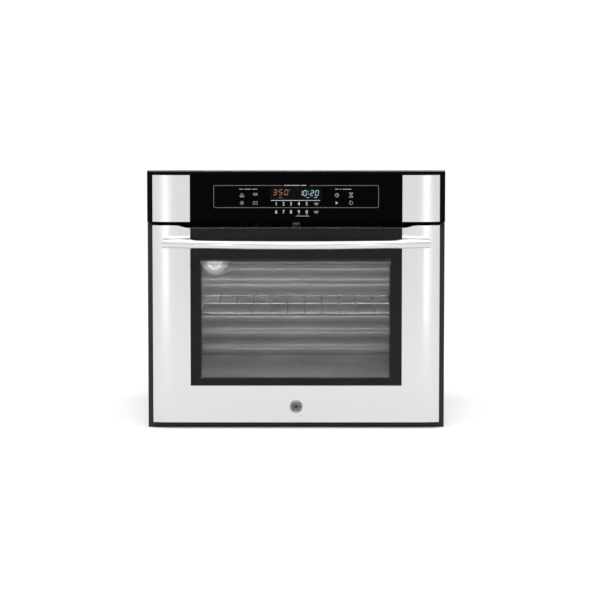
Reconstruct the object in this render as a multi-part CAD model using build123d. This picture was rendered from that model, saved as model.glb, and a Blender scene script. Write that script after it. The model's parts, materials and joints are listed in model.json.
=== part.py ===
"""Built-in electric wall oven, 30-inch class, as an assembly of separate parts.

Frame: X to the viewer's right, Y back into the cabinet, Z up, in millimetres. y = 0 is the
cabinet face that the front frame bears on, and z = 0 is the underside of the base pan.
Left and right are the viewer's.
"""
import os
from math import cos, radians, sin

from build123d import *

# ---- Overall size
OVERALL_WIDTH = 755.6
OVERALL_HEIGHT = 657.0
CHASSIS_DEPTH = 588.0
CHASSIS_TOP_DROP = 50.0     # chassis top below the top of the front
CABINET_LAP = 18.8          # front frame beyond each side of the chassis
SHEET = 1.2                 # chassis sheet steel
TOUCH_GAP = 0.3             # between bodies that move past each other

# ---- Front: plane, borders and gaps
FRONT_DEPTH = 50.0          # door and control front ahead of the cabinet face
EDGE_DROP = 6.0             # how far the steel eases back at each side
EASE_LENGTH = 57.6          # width of that easing
CORNER_RADIUS = 2.0
SIDE_BORDER = 13.2          # black trim beside the door
TOP_BORDER = 8.9
CONTROL_HEIGHT = 118.6
DOOR_GAP = 9.2              # between the control front and the door
DOOR_BOTTOM = 15.9
DIP_DEPTH = 6.2             # the door's top edge is lower in the middle
DIP_START = 56.6            # in from the door's side
DIP_RUN = 37.0
STILE = 95.3                # steel beside the glass, on the door and the control front

# ---- Door
DOOR_BACK = 6.0             # door's rear plane ahead of the cabinet face
SKIN = 1.0
GLASS = 4.0
GLASS_GAP = 0.3
GLASS_BOTTOM = 109.8
GLASS_SEAT = 8.0            # ledge behind the edge of the door glass
SIGHT_SIDE = 23.3           # door glass edge to the window behind it
SIGHT_BOTTOM = 7.8
SIGHT_TOP = 89.1
PANE_LAP = 10.0             # inner pane beyond the window
PANE_SPACING = 16.0
BOSS_INSET = 18.0           # raised middle of the liner, inside the cavity mouth
BOSS_HEIGHT = 5.0
BOSS_FOOT = 8.0             # its lower edge above the cavity floor
BOSS_HEAD = 16.0            # its upper edge below the cavity roof
BADGE_RADIUS = 16.0
BADGE_Z = 56.4
BADGE_THICKNESS = 1.5

# ---- Handle
HANDLE_RADIUS = 11.5
HANDLE_WALL = 2.0
HANDLE_END = 28.0           # bar's end in from the door's side
HANDLE_Z_DROP = 37.1        # below the middle of the door's top edge
HANDLE_STANDOFF = 25.0      # bar's centre to the door at its ends
HANDLE_BOW = 42.0
POST_RADIUS_DOOR = 12.0
POST_RADIUS_BAR = 9.0
POST_INSET = 11.0           # post centre in from the bar's end

# ---- Trims and control housing
TRIM_SHEET = 1.0
TRIM_DEPTH = 24.0
TRIM_GAP = 1.4              # between the door's side and the side trim
BOTTOM_TRIM_GAP = 4.6       # below the door
TRIM_TOP_GAP = 3.9          # between the side trims and the control housing
HOUSING_WALL = 1.6
HOUSING_DEPTH = 42.0
HOUSING_LIP = 2.0           # below the control front

# ---- Cavity
FLOOR_DROP = 19.6           # cavity floor below the window in the door
CAVITY_HEAD = 43.1          # cavity roof below the middle of the door's top edge
CAVITY_SIDE = 66.6          # cavity wall in from the door's side
REAR_SPACE = 122.0          # behind the cavity's rear wall
LINER = 1.2
BEAD_HEIGHT = 4.0
BEAD_FOOT = 22.0            # flat strips at the foot and head of the rear wall
BEAD_HEAD = 43.0
BEAD_COUNT = 14             # half waves
GUIDE_COUNT = 7
GUIDE_RISE = 45.0           # lowest rack above the cavity floor
GUIDE_HEAD = 44.0           # highest rack below the cavity roof
GUIDE_REACH = 10.0
GUIDE_HEIGHT = 6.0
GUIDE_END = 12.0
GASKET_SECTION = 12.0
GASKET_GAP = 6.0            # outside the cavity mouth
INSULATION = 48.0           # behind the cavity
INSULATION_CLEARANCE = 2.0
SIDE_AIR_GAP = 8.6          # between the insulation and the side panels

# ---- Racks
RACK_WIRE = 3.0             # radius of the frame wire
RACK_ROD = 2.0              # radius of the cross rods
RACK_SIDE_GAP = 4.0
RACK_FRONT = 24.0
RACK_BACK_GAP = 28.0
RACK_STOP = 16.0            # upturned rear stop
RACK_RODS = 12
RACK_BAR_SHARE = 0.555      # place of the bar across, from front to back
RACK_LOWER_POSITION = 3     # guides counted from the lowest, which is 0
RACK_UPPER_POSITION = 6

# ---- Heating, lamp and sensor
ELEMENT_RADIUS = 3.5
BAKE_DROP = 16.0            # below the cavity floor
BROIL_DROP = 16.0           # below the cavity roof
TERMINAL_SPACING = 60.0
LAMP_INSET = 78.0           # lamp in from the cavity's left wall
LAMP_DROP = 50.7            # below the top of the window
LENS_RADIUS = 38.0
LENS_HEIGHT = 22.0
LENS_WALL = 3.0
LAMP_CAN_RADIUS = 29.0
LAMP_CAN_DEPTH = 58.0
BULB_RADIUS = 11.0
SENSOR_X = 205.0
SENSOR_DROP = 34.0          # below the cavity roof
SENSOR_RADIUS = 2.5
SENSOR_LENGTH = 95.0

# ---- Cooling and electrical parts above the cavity
BULKHEAD_DROP = 6.1         # bulkhead below the middle of the door's top edge
DUCT_X0 = 60.0
DUCT_INSET = 39.0           # duct's outer end in from the chassis side
OUTLET_COUNT = 8
BOARD_INSET = 29.0          # relay board in from the chassis side
DUCT_HEIGHT = 40.0
BLOWER_X = 190.0
BLOWER_Y = 337.0
BLOWER_RADIUS = 72.0
WHEEL_RADIUS = 58.0
WHEEL_HEIGHT = 30.0
WHEEL_BLADES = 30
MOTOR_RADIUS = 28.0
SHAFT_RADIUS = 3.0
SHAFT_CLEARANCE = 0.05
INLET_RADIUS = 40.0
VENT_X = 180.0
VENT_Y = 120.0
VENT_RADIUS = 22.0

# ---- Electrical entry, at the back
BOX_X = 250.0               # left of centre
BOX_WIDTH = 100.0
BOX_DEPTH = 34.0
BOX_HEIGHT = 80.0
BOX_DROP = 98.0             # box's underside below the chassis top
GLAND_BORE = 11.1           # radius, for a half-inch trade size conduit
GLAND_WALL = 2.6
GLAND_SOCKET = 16.0         # depth that the conduit enters
GLAND_SHOULDER = 2.0
NECK_RADIUS = 10.5
NECK_BORE = 8.5
NECK_LENGTH = 8.0
NUT_RADIUS = 15.0
NUT_HEIGHT = 3.0

# ---- Door hinge
HINGE_INSET = 40.6          # in from the door's side
PIVOT_Y = -38.0
PIVOT_Z = 23.0
PIN_RADIUS = 3.0
PIN_CLEARANCE = 0.05
ARM_THICKNESS = 4.0
ARM_BOTTOM = 6.0            # arm's lower edge below the pivot
ARM_TOP = 7.0
ARM_BACK = 60.0             # arm's rear end behind the cabinet face
CAM_RADIUS = 6.0            # with the door shut
CAM_RISE = 4.0              # by the time the door is fully open
NOSE_RADIUS = 5.0
NOSE_GAP = 0.5
CHANNEL_INNER = 9.0         # half width between its cheeks
CHANNEL_SHEET = 1.5
CHANNEL_GAP = 1.8           # behind the door's skin
CHANNEL_TOP = 140.0
SPRING_SEAT = 65.0          # collar's top at rest
BRIDGE_Z = 128.0
SPRING_RADIUS = 6.0         # to the middle of the wire
SPRING_WIRE = 0.9
SPRING_TURNS = 9
PUSH_ROD = 3.0

# ---- Door latch and door switch
LATCH_WIDTH = 12.5
LATCH_SHEET = 2.5
LATCH_REACH = 52.0          # pivot to tongue
LATCH_PIVOT_Y = 22.0
LATCH_TIP_LIFT = 3.8        # tongue's tip above the door with the latch open
TONGUE_HEIGHT = 8.0
LATCH_PIN = 2.5
SWITCH_INSET = 34.6
SWITCH_DROP = 14.1
PLUNGER_RADIUS = 3.0
PLUNGER_LENGTH = 22.0

# ---- Fasteners
CABINET_HOLE = 2.6          # radius
CABINET_HOLE_LOW = 120.0
CABINET_HOLE_DROP = 92.0    # upper holes below the top of the front
SCREW = 1.9
SCREW_HOLE = 2.0
SCREW_HEAD = 4.0
SCREW_HEAD_HEIGHT = 2.2

# ---- Derived places
HALF_WIDTH = OVERALL_WIDTH / 2
CHASSIS_HALF = HALF_WIDTH - CABINET_LAP
CHASSIS_TOP = OVERALL_HEIGHT - CHASSIS_TOP_DROP
FRAME_HALF = HALF_WIDTH - TRIM_SHEET - 0.4
FRAME_TOP = OVERALL_HEIGHT - 2.0
DOOR_HALF = HALF_WIDTH - SIDE_BORDER
CONTROL_TOP = OVERALL_HEIGHT - TOP_BORDER
CONTROL_BOTTOM = CONTROL_TOP - CONTROL_HEIGHT
DOOR_TOP = CONTROL_BOTTOM - DOOR_GAP
DOOR_MID_TOP = DOOR_TOP - DIP_DEPTH
GLASS_HALF = DOOR_HALF - STILE
FRONT_Y = -FRONT_DEPTH
EDGE_Y = FRONT_Y + EDGE_DROP
BACK_Y = -DOOR_BACK
CAVITY_HALF = DOOR_HALF - CAVITY_SIDE
WINDOW_BOTTOM = GLASS_BOTTOM + SIGHT_BOTTOM
CAVITY_FLOOR = WINDOW_BOTTOM - FLOOR_DROP
CAVITY_TOP = DOOR_MID_TOP - CAVITY_HEAD
CAVITY_DEPTH = CHASSIS_DEPTH - REAR_SPACE
BEAD_STEP = (CAVITY_TOP - CAVITY_FLOOR - BEAD_FOOT - BEAD_HEAD) / BEAD_COUNT
GUIDE_SPAN = CAVITY_TOP - CAVITY_FLOOR - GUIDE_RISE - GUIDE_HEAD
WINDOW_HALF = GLASS_HALF - SIGHT_SIDE
WINDOW_TOP = DOOR_MID_TOP - SIGHT_TOP
LAMP_X = CAVITY_HALF - LAMP_INSET
LAMP_Z = WINDOW_TOP - LAMP_DROP
BULKHEAD_Z = DOOR_MID_TOP - BULKHEAD_DROP
DECK_Z = BULKHEAD_Z + SHEET
DUCT_X1 = CHASSIS_HALF - DUCT_INSET
OUTLET_PITCH = (DUCT_X1 - DUCT_X0 - 43) / (OUTLET_COUNT - 1)
TRIM_INNER = DOOR_HALF + TRIM_GAP
CABINET_HOLE_X = (TRIM_INNER + TRIM_SHEET + HALF_WIDTH - TRIM_SHEET) / 2
HINGE_X = DOOR_HALF - HINGE_INSET
HANDLE_Z = DOOR_MID_TOP - HANDLE_Z_DROP
HANDLE_HALF = DOOR_HALF - HANDLE_END
LATCH_Z = DOOR_MID_TOP + LATCH_TIP_LIFT + TONGUE_HEIGHT - LATCH_SHEET / 2
NOSE_Z = PIVOT_Z + CAM_RADIUS + NOSE_GAP + NOSE_RADIUS


# ---- Shape helpers
def slab(x0, x1, y0, y1, z0, z1):
    """Box between two opposite corners."""
    return Pos((x0 + x1) / 2, (y0 + y1) / 2, (z0 + z1) / 2) * Box(x1 - x0, y1 - y0, z1 - z0)


def wide_slab(half, y0, y1, z0, z1):
    """Box centred across the oven."""
    return slab(-half, half, y0, y1, z0, z1)


def rod_x(radius, x0, x1, y, z):
    return Pos((x0 + x1) / 2, y, z) * Rot(0, 90, 0) * Cylinder(radius, x1 - x0)


def rod_y(radius, y0, y1, x, z):
    return Pos(x, (y0 + y1) / 2, z) * Rot(90, 0, 0) * Cylinder(radius, y1 - y0)


def rod_z(radius, z0, z1, x, y):
    return Pos(x, y, (z0 + z1) / 2) * Cylinder(radius, z1 - z0)


def prism_x(face, x0, x1):
    """A face drawn in Y and Z, made solid between two places across."""
    return extrude(Plane.YZ.offset(x0) * face, amount=x1 - x0)


def prism_y(face, y0, y1):
    """A face drawn in X and Z, made solid between two depths."""
    return extrude(Plane.XZ.offset(-y1) * face, amount=y1 - y0)


def prism_z(face, z0, z1):
    """A face drawn in X and Y, made solid between two heights."""
    return extrude(Plane.XY.offset(z0) * face, amount=z1 - z0)


def bent_rod(points, bends, radius):
    """Round bar along straight runs joined by bends."""
    path = FilletPolyline(*points, radius=bends)
    return sweep(Plane(origin=path @ 0, z_dir=path % 0) * Circle(radius), path=path)


def to_left(shape):
    return mirror(shape, about=Plane.YZ)


def front_plan(inset, back):
    """Plan of the front: flat in the middle and eased back towards each side."""
    half = DOOR_HALF - inset
    front = FRONT_Y + inset
    edge = EDGE_Y + inset
    start = DOOR_HALF - EASE_LENGTH
    right = TangentArc((start, front), (half, edge), tangent=(1, 0))
    left = TangentArc((-start, front), (-half, edge), tangent=(-1, 0))
    rest = [
        Line((-start, front), (start, front)),
        Line((half, edge), (half, back)),
        Line((half, back), (-half, back)),
        Line((-half, back), (-half, edge)),
    ]
    face = make_face([right, left, *rest])
    corners = [v for v in face.vertices() if abs(v.Y - edge) < 0.01]
    return fillet(corners, CORNER_RADIUS - inset / 2)


def door_solid(inset, y0, y1):
    """Front view of the door, lower in the middle of its top edge, between two depths."""
    half = DOOR_HALF - inset
    low = DOOR_BOTTOM + inset
    high = DOOR_TOP - inset
    mid = DOOR_MID_TOP - inset
    outer = DOOR_HALF - DIP_START
    inner = outer - DIP_RUN
    centre = (outer + inner) / 2
    lines = [Line((inner, mid), (-inner, mid)), Line((-half, low), (half, low))]
    for side in (1, -1):
        lines += [
            Line((side * half, low), (side * half, high)),
            Line((side * half, high), (side * outer, high)),
            TangentArc((side * outer, high), (side * centre, (high + mid) / 2), tangent=(-side, 0)),
            TangentArc((side * inner, mid), (side * centre, (high + mid) / 2), tangent=(side, 0)),
        ]
    return prism_y(make_face(lines), y0, y1)


def door_body(inset, back):
    """The door's whole outside shape, smaller all round by inset."""
    plan = prism_z(front_plan(inset, back), DOOR_BOTTOM - 10, DOOR_TOP + 10)
    return plan & door_solid(inset, FRONT_Y - 10, back + 10)


def hinge_slot():
    """Room for the fixed hinge arm, which turns out through the door's lower rear corner."""
    half = ARM_THICKNESS / 2 + 2
    top = PIVOT_Z + ARM_TOP + 1.5
    slot = slab(HINGE_X - half, HINGE_X + half, FRONT_Y + 4, 1, DOOR_BOTTOM - 1, top)
    return slot + to_left(slot)


# ---- Chassis
def base_pan():
    outer = wide_slab(CHASSIS_HALF - SHEET, -SHEET, CHASSIS_DEPTH - SHEET, 0, 26)
    inside = wide_slab(CHASSIS_HALF - 2 * SHEET, -SHEET - 1, CHASSIS_DEPTH, SHEET, 27)
    ends = slab(-CHASSIS_HALF, CHASSIS_HALF, -2, SHEET, SHEET, 27)
    floor = wide_slab(CHASSIS_HALF, -SHEET, CHASSIS_DEPTH, 0, SHEET)
    return outer - inside - ends + floor


def side_panel():
    wall = slab(CHASSIS_HALF - SHEET, CHASSIS_HALF, 0, CHASSIS_DEPTH, SHEET, CHASSIS_TOP)
    rear = CHASSIS_DEPTH - SHEET
    lip = slab(CHASSIS_HALF - 18, CHASSIS_HALF - SHEET, rear - SHEET, rear, 30, CHASSIS_TOP - 10)
    panel = wall + lip
    for z in rear_screw_heights():
        panel -= rod_y(SCREW_HOLE, rear - 5, rear + 5, rear_screw_x(), z)
    return panel


def rear_screw_x():
    return CHASSIS_HALF - SHEET - 9


def rear_screw_heights():
    return [60, CHASSIS_TOP / 2, CHASSIS_TOP - 30]


def rear_panel():
    rear = CHASSIS_DEPTH - SHEET
    panel = wide_slab(CHASSIS_HALF - SHEET, rear, CHASSIS_DEPTH, SHEET, CHASSIS_TOP)
    for z in rear_screw_heights():
        for side in (-1, 1):
            panel -= rod_y(SCREW_HOLE, rear - 2, rear + 3, side * rear_screw_x(), z)
    panel -= rod_y(15, rear - 2, rear + 3, -BOX_X, box_bottom() + BOX_HEIGHT / 2)
    slots = [slab(x, x + 6, rear - 2, rear + 3, CHASSIS_TOP - 80, CHASSIS_TOP - 30)
             for x in range(40, 320, 18)]
    return panel - slots


def top_panel():
    half = CHASSIS_HALF - SHEET
    panel = wide_slab(half, 0, CHASSIS_DEPTH - SHEET, CHASSIS_TOP - SHEET, CHASSIS_TOP)
    slots = [slab(x, x + 6, CHASSIS_DEPTH - 90, CHASSIS_DEPTH - 40, CHASSIS_TOP - 5, CHASSIS_TOP + 5)
             for x in range(-150, 160, 18)]
    return panel - slots


def front_frame():
    """Flat frame that laps the cabinet and carries the liner, the hinges and the trims."""
    frame = wide_slab(FRAME_HALF, -SHEET, 0, SHEET, FRAME_TOP)
    frame -= wide_slab(CAVITY_HALF, -5, 5, CAVITY_FLOOR, CAVITY_TOP)
    service = DECK_Z + DUCT_HEIGHT + 6
    frame -= wide_slab(DOOR_HALF - 30, -5, 5, service, CHASSIS_TOP - 8)
    for side in (-1, 1):
        x = side * HINGE_X
        frame -= slab(x - 3.2, x + 3.2, -5, 5, PIVOT_Z - ARM_BOTTOM - 2, PIVOT_Z + ARM_TOP + 2)
        for z in (CABINET_HOLE_LOW, OVERALL_HEIGHT - CABINET_HOLE_DROP):
            frame -= rod_y(CABINET_HOLE, -5, 5, side * CABINET_HOLE_X, z)
        outlets = [side * (DUCT_X0 + 12 + OUTLET_PITCH * i) for i in range(OUTLET_COUNT)]
        frame -= [slab(x - 10, x + 10, -5, 5, DECK_Z + 3, DECK_Z + 13) for x in outlets]
    frame -= slab(-9, 9, -5, 5, DECK_Z + 1, LATCH_Z + 6)
    frame -= rod_y(PLUNGER_RADIUS + 0.4, -5, 5, switch_x(), switch_z())
    return frame


def side_trim():
    """Folded black strip that hides the cabinet screws beside the door."""
    top = CONTROL_BOTTOM - HOUSING_LIP - TRIM_TOP_GAP
    outer = slab(TRIM_INNER, HALF_WIDTH, -TRIM_DEPTH, -SHEET, 0, top)
    hollow = slab(TRIM_INNER + TRIM_SHEET, HALF_WIDTH - TRIM_SHEET,
                  -TRIM_DEPTH + TRIM_SHEET, 0, -1, top - TRIM_SHEET)
    return outer - hollow


def bottom_trim():
    top = DOOR_BOTTOM - BOTTOM_TRIM_GAP
    outer = wide_slab(TRIM_INNER, -TRIM_DEPTH, -SHEET, 0, top)
    hollow = wide_slab(TRIM_INNER + 1, -TRIM_DEPTH + TRIM_SHEET, 0, TRIM_SHEET, top - TRIM_SHEET)
    return outer - hollow


# ---- Cavity
def oven_liner():
    """Porcelain sides, roof and floor in one wrapper, with the rack guides pressed in."""
    low, high = CAVITY_FLOOR, CAVITY_TOP
    end = CAVITY_DEPTH + BEAD_HEIGHT + 2 + LINER
    liner = wide_slab(CAVITY_HALF + LINER, 0, end, low - LINER, high + LINER)
    liner -= wide_slab(CAVITY_HALF, -1, end + 1, low, high)
    guides = []
    for number in range(GUIDE_COUNT):
        top = rack_height(number) - RACK_WIRE - TOUCH_GAP
        section = Polygon((0, 0), (0, GUIDE_HEIGHT + 5), (-GUIDE_REACH, GUIDE_HEIGHT + 5),
                          (-GUIDE_REACH, 5), align=None)
        ledge = extrude(Plane.XZ.offset(-CAVITY_DEPTH + GUIDE_END) * section,
                        amount=CAVITY_DEPTH - 2 * GUIDE_END)
        ledge = Pos(CAVITY_HALF, 0, top - GUIDE_HEIGHT - 5) * ledge
        guides += [ledge, to_left(ledge)]
    liner += guides
    return liner - rod_z(VENT_RADIUS, high - 1, high + 5, VENT_X, VENT_Y)


def rack_height(number):
    return CAVITY_FLOOR + GUIDE_RISE + number * GUIDE_SPAN / (GUIDE_COUNT - 1)


def liner_back():
    """Rear wall of the cavity, stiffened by rounded beads across its width."""
    front = CAVITY_DEPTH
    step = BEAD_STEP
    foot = CAVITY_FLOOR + BEAD_FOOT
    head = foot + BEAD_COUNT * step
    lines = []
    for offset in (0, LINER):
        y = front + offset
        lines.append(Line((y, CAVITY_FLOOR), (y, foot)))
        for number in range(BEAD_COUNT):
            z = foot + number * step
            bulge = BEAD_HEIGHT if number % 2 else -BEAD_HEIGHT
            lines.append(ThreePointArc((y, z), (y + bulge, z + step / 2), (y, z + step)))
        lines.append(Line((y, head), (y, CAVITY_TOP)))
    lines.append(Line((front, CAVITY_FLOOR), (front + LINER, CAVITY_FLOOR)))
    lines.append(Line((front, CAVITY_TOP), (front + LINER, CAVITY_TOP)))
    wall = prism_x(make_face(lines), -CAVITY_HALF, CAVITY_HALF)
    wall -= rod_y(LENS_RADIUS + 6, front - 20, front + 20, -LAMP_X, LAMP_Z)
    wall += rod_y(LENS_RADIUS + 6, front, front + LINER, -LAMP_X, LAMP_Z)
    wall -= rod_y(LAMP_CAN_RADIUS - 3, front - 5, front + 5, -LAMP_X, LAMP_Z)
    for side in (-1, 1):
        x = side * TERMINAL_SPACING / 2
        wall -= rod_y(ELEMENT_RADIUS + 0.5, front - 5, front + 5, x, broil_z())
    return wall - rod_y(SENSOR_RADIUS + 0.4, front - 5, front + 5, SENSOR_X, sensor_z())


def broil_z():
    return CAVITY_TOP - BROIL_DROP


def sensor_z():
    return CAVITY_TOP - SENSOR_DROP


def insulation_blanket():
    """Glass-fibre wrap round the liner and behind it, cut away for what passes through."""
    gap = INSULATION_CLEARANCE
    inner_half = CAVITY_HALF + LINER + gap
    inner_low = CAVITY_FLOOR - BAKE_DROP - 20
    inner_high = CAVITY_TOP + LINER + gap
    back = CAVITY_DEPTH + BEAD_HEIGHT + LINER + 2 + gap
    outer_low = inner_low - 16
    outer_half = CHASSIS_HALF - SHEET - SIDE_AIR_GAP
    wrap = wide_slab(outer_half, gap, back + INSULATION, outer_low, BULKHEAD_Z - gap)
    wrap -= wide_slab(inner_half, 0, back, inner_low, inner_high)
    wrap -= rod_y(LAMP_CAN_RADIUS + gap, back - 5, back + 80, -LAMP_X, LAMP_Z)
    for z in (broil_z(), bake_z()):
        wrap -= wide_slab(TERMINAL_SPACING / 2 + 12, back - 5, back + 80, z - 10, z + 10)
    wrap -= rod_y(SENSOR_RADIUS + 4, back - 5, back + 80, SENSOR_X, sensor_z())
    wrap -= rod_z(VENT_RADIUS + gap, inner_high - 5, BULKHEAD_Z + 5, VENT_X, VENT_Y)
    x, z = switch_x(), switch_z()
    return wrap - slab(x - 9, x + 30, 0, 30, z - 16, BULKHEAD_Z)


def bake_z():
    return CAVITY_FLOOR - BAKE_DROP


def bake_element():
    """Sheathed loop under the cavity floor, with its terminals out through the back."""
    z = bake_z()
    x = TERMINAL_SPACING / 2
    rear = CAVITY_DEPTH + 46
    side = CAVITY_HALF - 58
    points = [(-x, rear), (-x, CAVITY_DEPTH - 46), (-side, CAVITY_DEPTH - 46), (-side, 60),
              (side, 60), (side, CAVITY_DEPTH - 46), (x, CAVITY_DEPTH - 46), (x, rear)]
    return bent_rod([(px, py, z) for px, py in points], 25, ELEMENT_RADIUS)


def broil_element():
    """Sheathed serpentine under the cavity roof."""
    z = broil_z()
    x = TERMINAL_SPACING / 2
    rear = CAVITY_DEPTH + 46
    side = CAVITY_HALF - 68
    back = CAVITY_DEPTH - 61
    turn = back - 60
    front = 80
    half = [(x, rear), (x, back), (side, back), (side, front), (side * 0.55, front),
            (side * 0.55, turn), (side * 0.2, turn), (side * 0.2, front)]
    points = half + [(-px, py) for px, py in reversed(half)]
    return bent_rod([(px, py, z) for px, py in points], 20, ELEMENT_RADIUS)


def temperature_sensor():
    """Probe through the rear wall with its mounting plate."""
    z = sensor_z()
    probe = rod_y(SENSOR_RADIUS, CAVITY_DEPTH - SENSOR_LENGTH, CAVITY_DEPTH + 40, SENSOR_X, z)
    plate = slab(SENSOR_X - 16, SENSOR_X + 16, CAVITY_DEPTH - 1.5, CAVITY_DEPTH, z - 7, z + 7)
    return probe + plate


def lamp_lens():
    """Domed glass cover on the cavity side of the lamp."""
    outer = rod_y(LENS_RADIUS, CAVITY_DEPTH - LENS_HEIGHT, CAVITY_DEPTH, -LAMP_X, LAMP_Z)
    front_edge = outer.faces().sort_by(Axis.Y)[0].edges()
    outer = fillet(front_edge, LENS_HEIGHT * 0.45)
    inner = rod_y(LENS_RADIUS - LENS_WALL, CAVITY_DEPTH - LENS_HEIGHT + LENS_WALL,
                  CAVITY_DEPTH + 1, -LAMP_X, LAMP_Z)
    inner = fillet(inner.faces().sort_by(Axis.Y)[0].edges(), LENS_HEIGHT * 0.35)
    return outer - inner


def lamp_socket():
    """Metal can behind the rear wall with the ceramic lampholder at its bottom."""
    front = CAVITY_DEPTH + LINER
    back = front + LAMP_CAN_DEPTH
    can = rod_y(LAMP_CAN_RADIUS, front, back, -LAMP_X, LAMP_Z)
    can -= rod_y(LAMP_CAN_RADIUS - 1, front - 1, back - 1, -LAMP_X, LAMP_Z)
    holder = rod_y(14, back - 19, back - 1, -LAMP_X, LAMP_Z)
    holder -= rod_y(8.3, back - 20, back - 4, -LAMP_X, LAMP_Z)
    return can + holder


def lamp_bulb():
    back = CAVITY_DEPTH + LINER + LAMP_CAN_DEPTH
    base = rod_y(8, back - 17, back - 5, -LAMP_X, LAMP_Z)
    glass = rod_y(BULB_RADIUS, back - 46, back - 19.5, -LAMP_X, LAMP_Z)
    glass = fillet(glass.faces().sort_by(Axis.Y)[0].edges(), BULB_RADIUS * 0.8)
    neck = rod_y(8, back - 20, back - 16, -LAMP_X, LAMP_Z)
    return base + neck + glass


def door_gasket():
    """Woven seal on the front frame, round the mouth of the cavity."""
    inner = CAVITY_HALF + GASKET_GAP
    outer = inner + GASKET_SECTION
    low, high = CAVITY_FLOOR - GASKET_GAP, CAVITY_TOP + GASKET_GAP
    ring = wide_slab(outer, BACK_Y + TOUCH_GAP, -SHEET, low - GASKET_SECTION, high + GASKET_SECTION)
    return ring - wide_slab(inner, BACK_Y - 1, 0, low, high)


def rack(z):
    """Wire rack: one bent frame wire, bars across and rods from front to back."""
    half = CAVITY_HALF - RACK_SIDE_GAP - RACK_WIRE
    front = RACK_FRONT
    back = CAVITY_DEPTH - RACK_BACK_GAP
    points = [(-half, back, z + RACK_STOP), (-half, back, z), (-half, front, z),
              (half, front, z), (half, back, z), (half, back, z + RACK_STOP)]
    frame = bent_rod(points, [8, 20, 20, 8], RACK_WIRE)
    parts = [rod_x(RACK_WIRE, -half, half, back - 12, z)]
    parts.append(rod_x(RACK_WIRE - 0.5, -half, half, front + RACK_BAR_SHARE * (back - front), z))
    pitch = 2 * half / (RACK_RODS + 1)
    for number in range(RACK_RODS):
        x = -half + pitch * (number + 1)
        parts.append(rod_y(RACK_ROD, front, back - 12, x, z + RACK_WIRE))
    return frame + parts


# ---- Cooling and electrical parts
def cooling_duct():
    """Bulkhead over the insulation, with the duct that leads the air out above the door."""
    half = CHASSIS_HALF - SHEET
    deck = wide_slab(half, 0, CHASSIS_DEPTH - 2 * SHEET, BULKHEAD_Z, DECK_Z)
    deck -= rod_z(VENT_RADIUS - 1, BULKHEAD_Z - 1, DECK_Z + 1, VENT_X, VENT_Y)
    for side in (-1, 1):
        edge = half - 18
        deck -= slab(min(side * edge, side * half), max(side * edge, side * half),
                     CHASSIS_DEPTH - 30, CHASSIS_DEPTH, BULKHEAD_Z - 1, DECK_Z + 1)
    end = BLOWER_Y - BLOWER_RADIUS
    duct = slab(DUCT_X0, DUCT_X1, 0, end, DECK_Z, DECK_Z + DUCT_HEIGHT)
    duct -= slab(DUCT_X0 + SHEET, DUCT_X1 - SHEET, -1, end - SHEET, DECK_Z, DECK_Z + DUCT_HEIGHT - SHEET)
    duct -= slab(BLOWER_X, BLOWER_X + BLOWER_RADIUS - SHEET, end - 5, end + 5,
                 DECK_Z, DECK_Z + DUCT_HEIGHT - SHEET)
    return deck + duct


def blower_housing():
    """Scroll that holds the fan wheel and opens into the duct."""
    top = DECK_Z + DUCT_HEIGHT
    end = BLOWER_Y - BLOWER_RADIUS
    outer = rod_z(BLOWER_RADIUS, DECK_Z, top, BLOWER_X, BLOWER_Y)
    outer += slab(BLOWER_X, BLOWER_X + BLOWER_RADIUS, end, BLOWER_Y, DECK_Z, top)
    inner = rod_z(BLOWER_RADIUS - SHEET, DECK_Z + SHEET, top - SHEET, BLOWER_X, BLOWER_Y)
    inner += slab(BLOWER_X, BLOWER_X + BLOWER_RADIUS - SHEET, end - 1, BLOWER_Y,
                  DECK_Z + SHEET, top - SHEET)
    return outer - inner - rod_z(INLET_RADIUS, top - 5, top + 5, BLOWER_X, BLOWER_Y)


def wheel_bottom():
    return DECK_Z + (DUCT_HEIGHT - WHEEL_HEIGHT) / 2


def blower_wheel():
    """Centrifugal wheel: floor plate, hub, blades and top ring."""
    low = wheel_bottom()
    high = low + WHEEL_HEIGHT
    wheel = rod_z(WHEEL_RADIUS, low, low + 1.5, BLOWER_X, BLOWER_Y)
    wheel += rod_z(8, low, high - 6, BLOWER_X, BLOWER_Y)
    ring = rod_z(WHEEL_RADIUS, high - 1.5, high, BLOWER_X, BLOWER_Y)
    wheel += ring - rod_z(WHEEL_RADIUS - 12, high - 2, high + 1, BLOWER_X, BLOWER_Y)
    blades = []
    for number in range(WHEEL_BLADES):
        place = Pos(BLOWER_X, BLOWER_Y, 0) * Rot(0, 0, number * 360 / WHEEL_BLADES)
        blade = Pos(WHEEL_RADIUS - 7, 0, (low + high) / 2) * Rot(0, 0, 35) * Box(11, 1, WHEEL_HEIGHT)
        blades.append(place * blade)
    wheel += blades
    return wheel - rod_z(SHAFT_RADIUS + SHAFT_CLEARANCE, low - 1, high + 1, BLOWER_X, BLOWER_Y)


def blower_motor():
    """Motor on a three-armed plate over the inlet, with its shaft down into the wheel."""
    top = DECK_Z + DUCT_HEIGHT
    motor = rod_z(MOTOR_RADIUS, top + SHEET, top + 44, BLOWER_X, BLOWER_Y)
    motor = fillet(motor.faces().sort_by(Axis.Z)[-1].edges(), 5)
    motor += rod_z(SHAFT_RADIUS, wheel_bottom() + 2, top + 2, BLOWER_X, BLOWER_Y)
    arm_length = INLET_RADIUS + 10
    for angle in (90, 210, 330):
        arm = Pos(arm_length / 2, 0, top + SHEET / 2) * Box(arm_length, 12, SHEET)
        motor += Pos(BLOWER_X, BLOWER_Y, 0) * Rot(0, 0, angle) * arm
    return motor


def vent_tube():
    """Short tube that leads steam from the cavity roof into the duct."""
    tube = rod_z(VENT_RADIUS, CAVITY_TOP, BULKHEAD_Z, VENT_X, VENT_Y)
    return tube - rod_z(VENT_RADIUS - 1, CAVITY_TOP - 1, BULKHEAD_Z + 1, VENT_X, VENT_Y)


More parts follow.
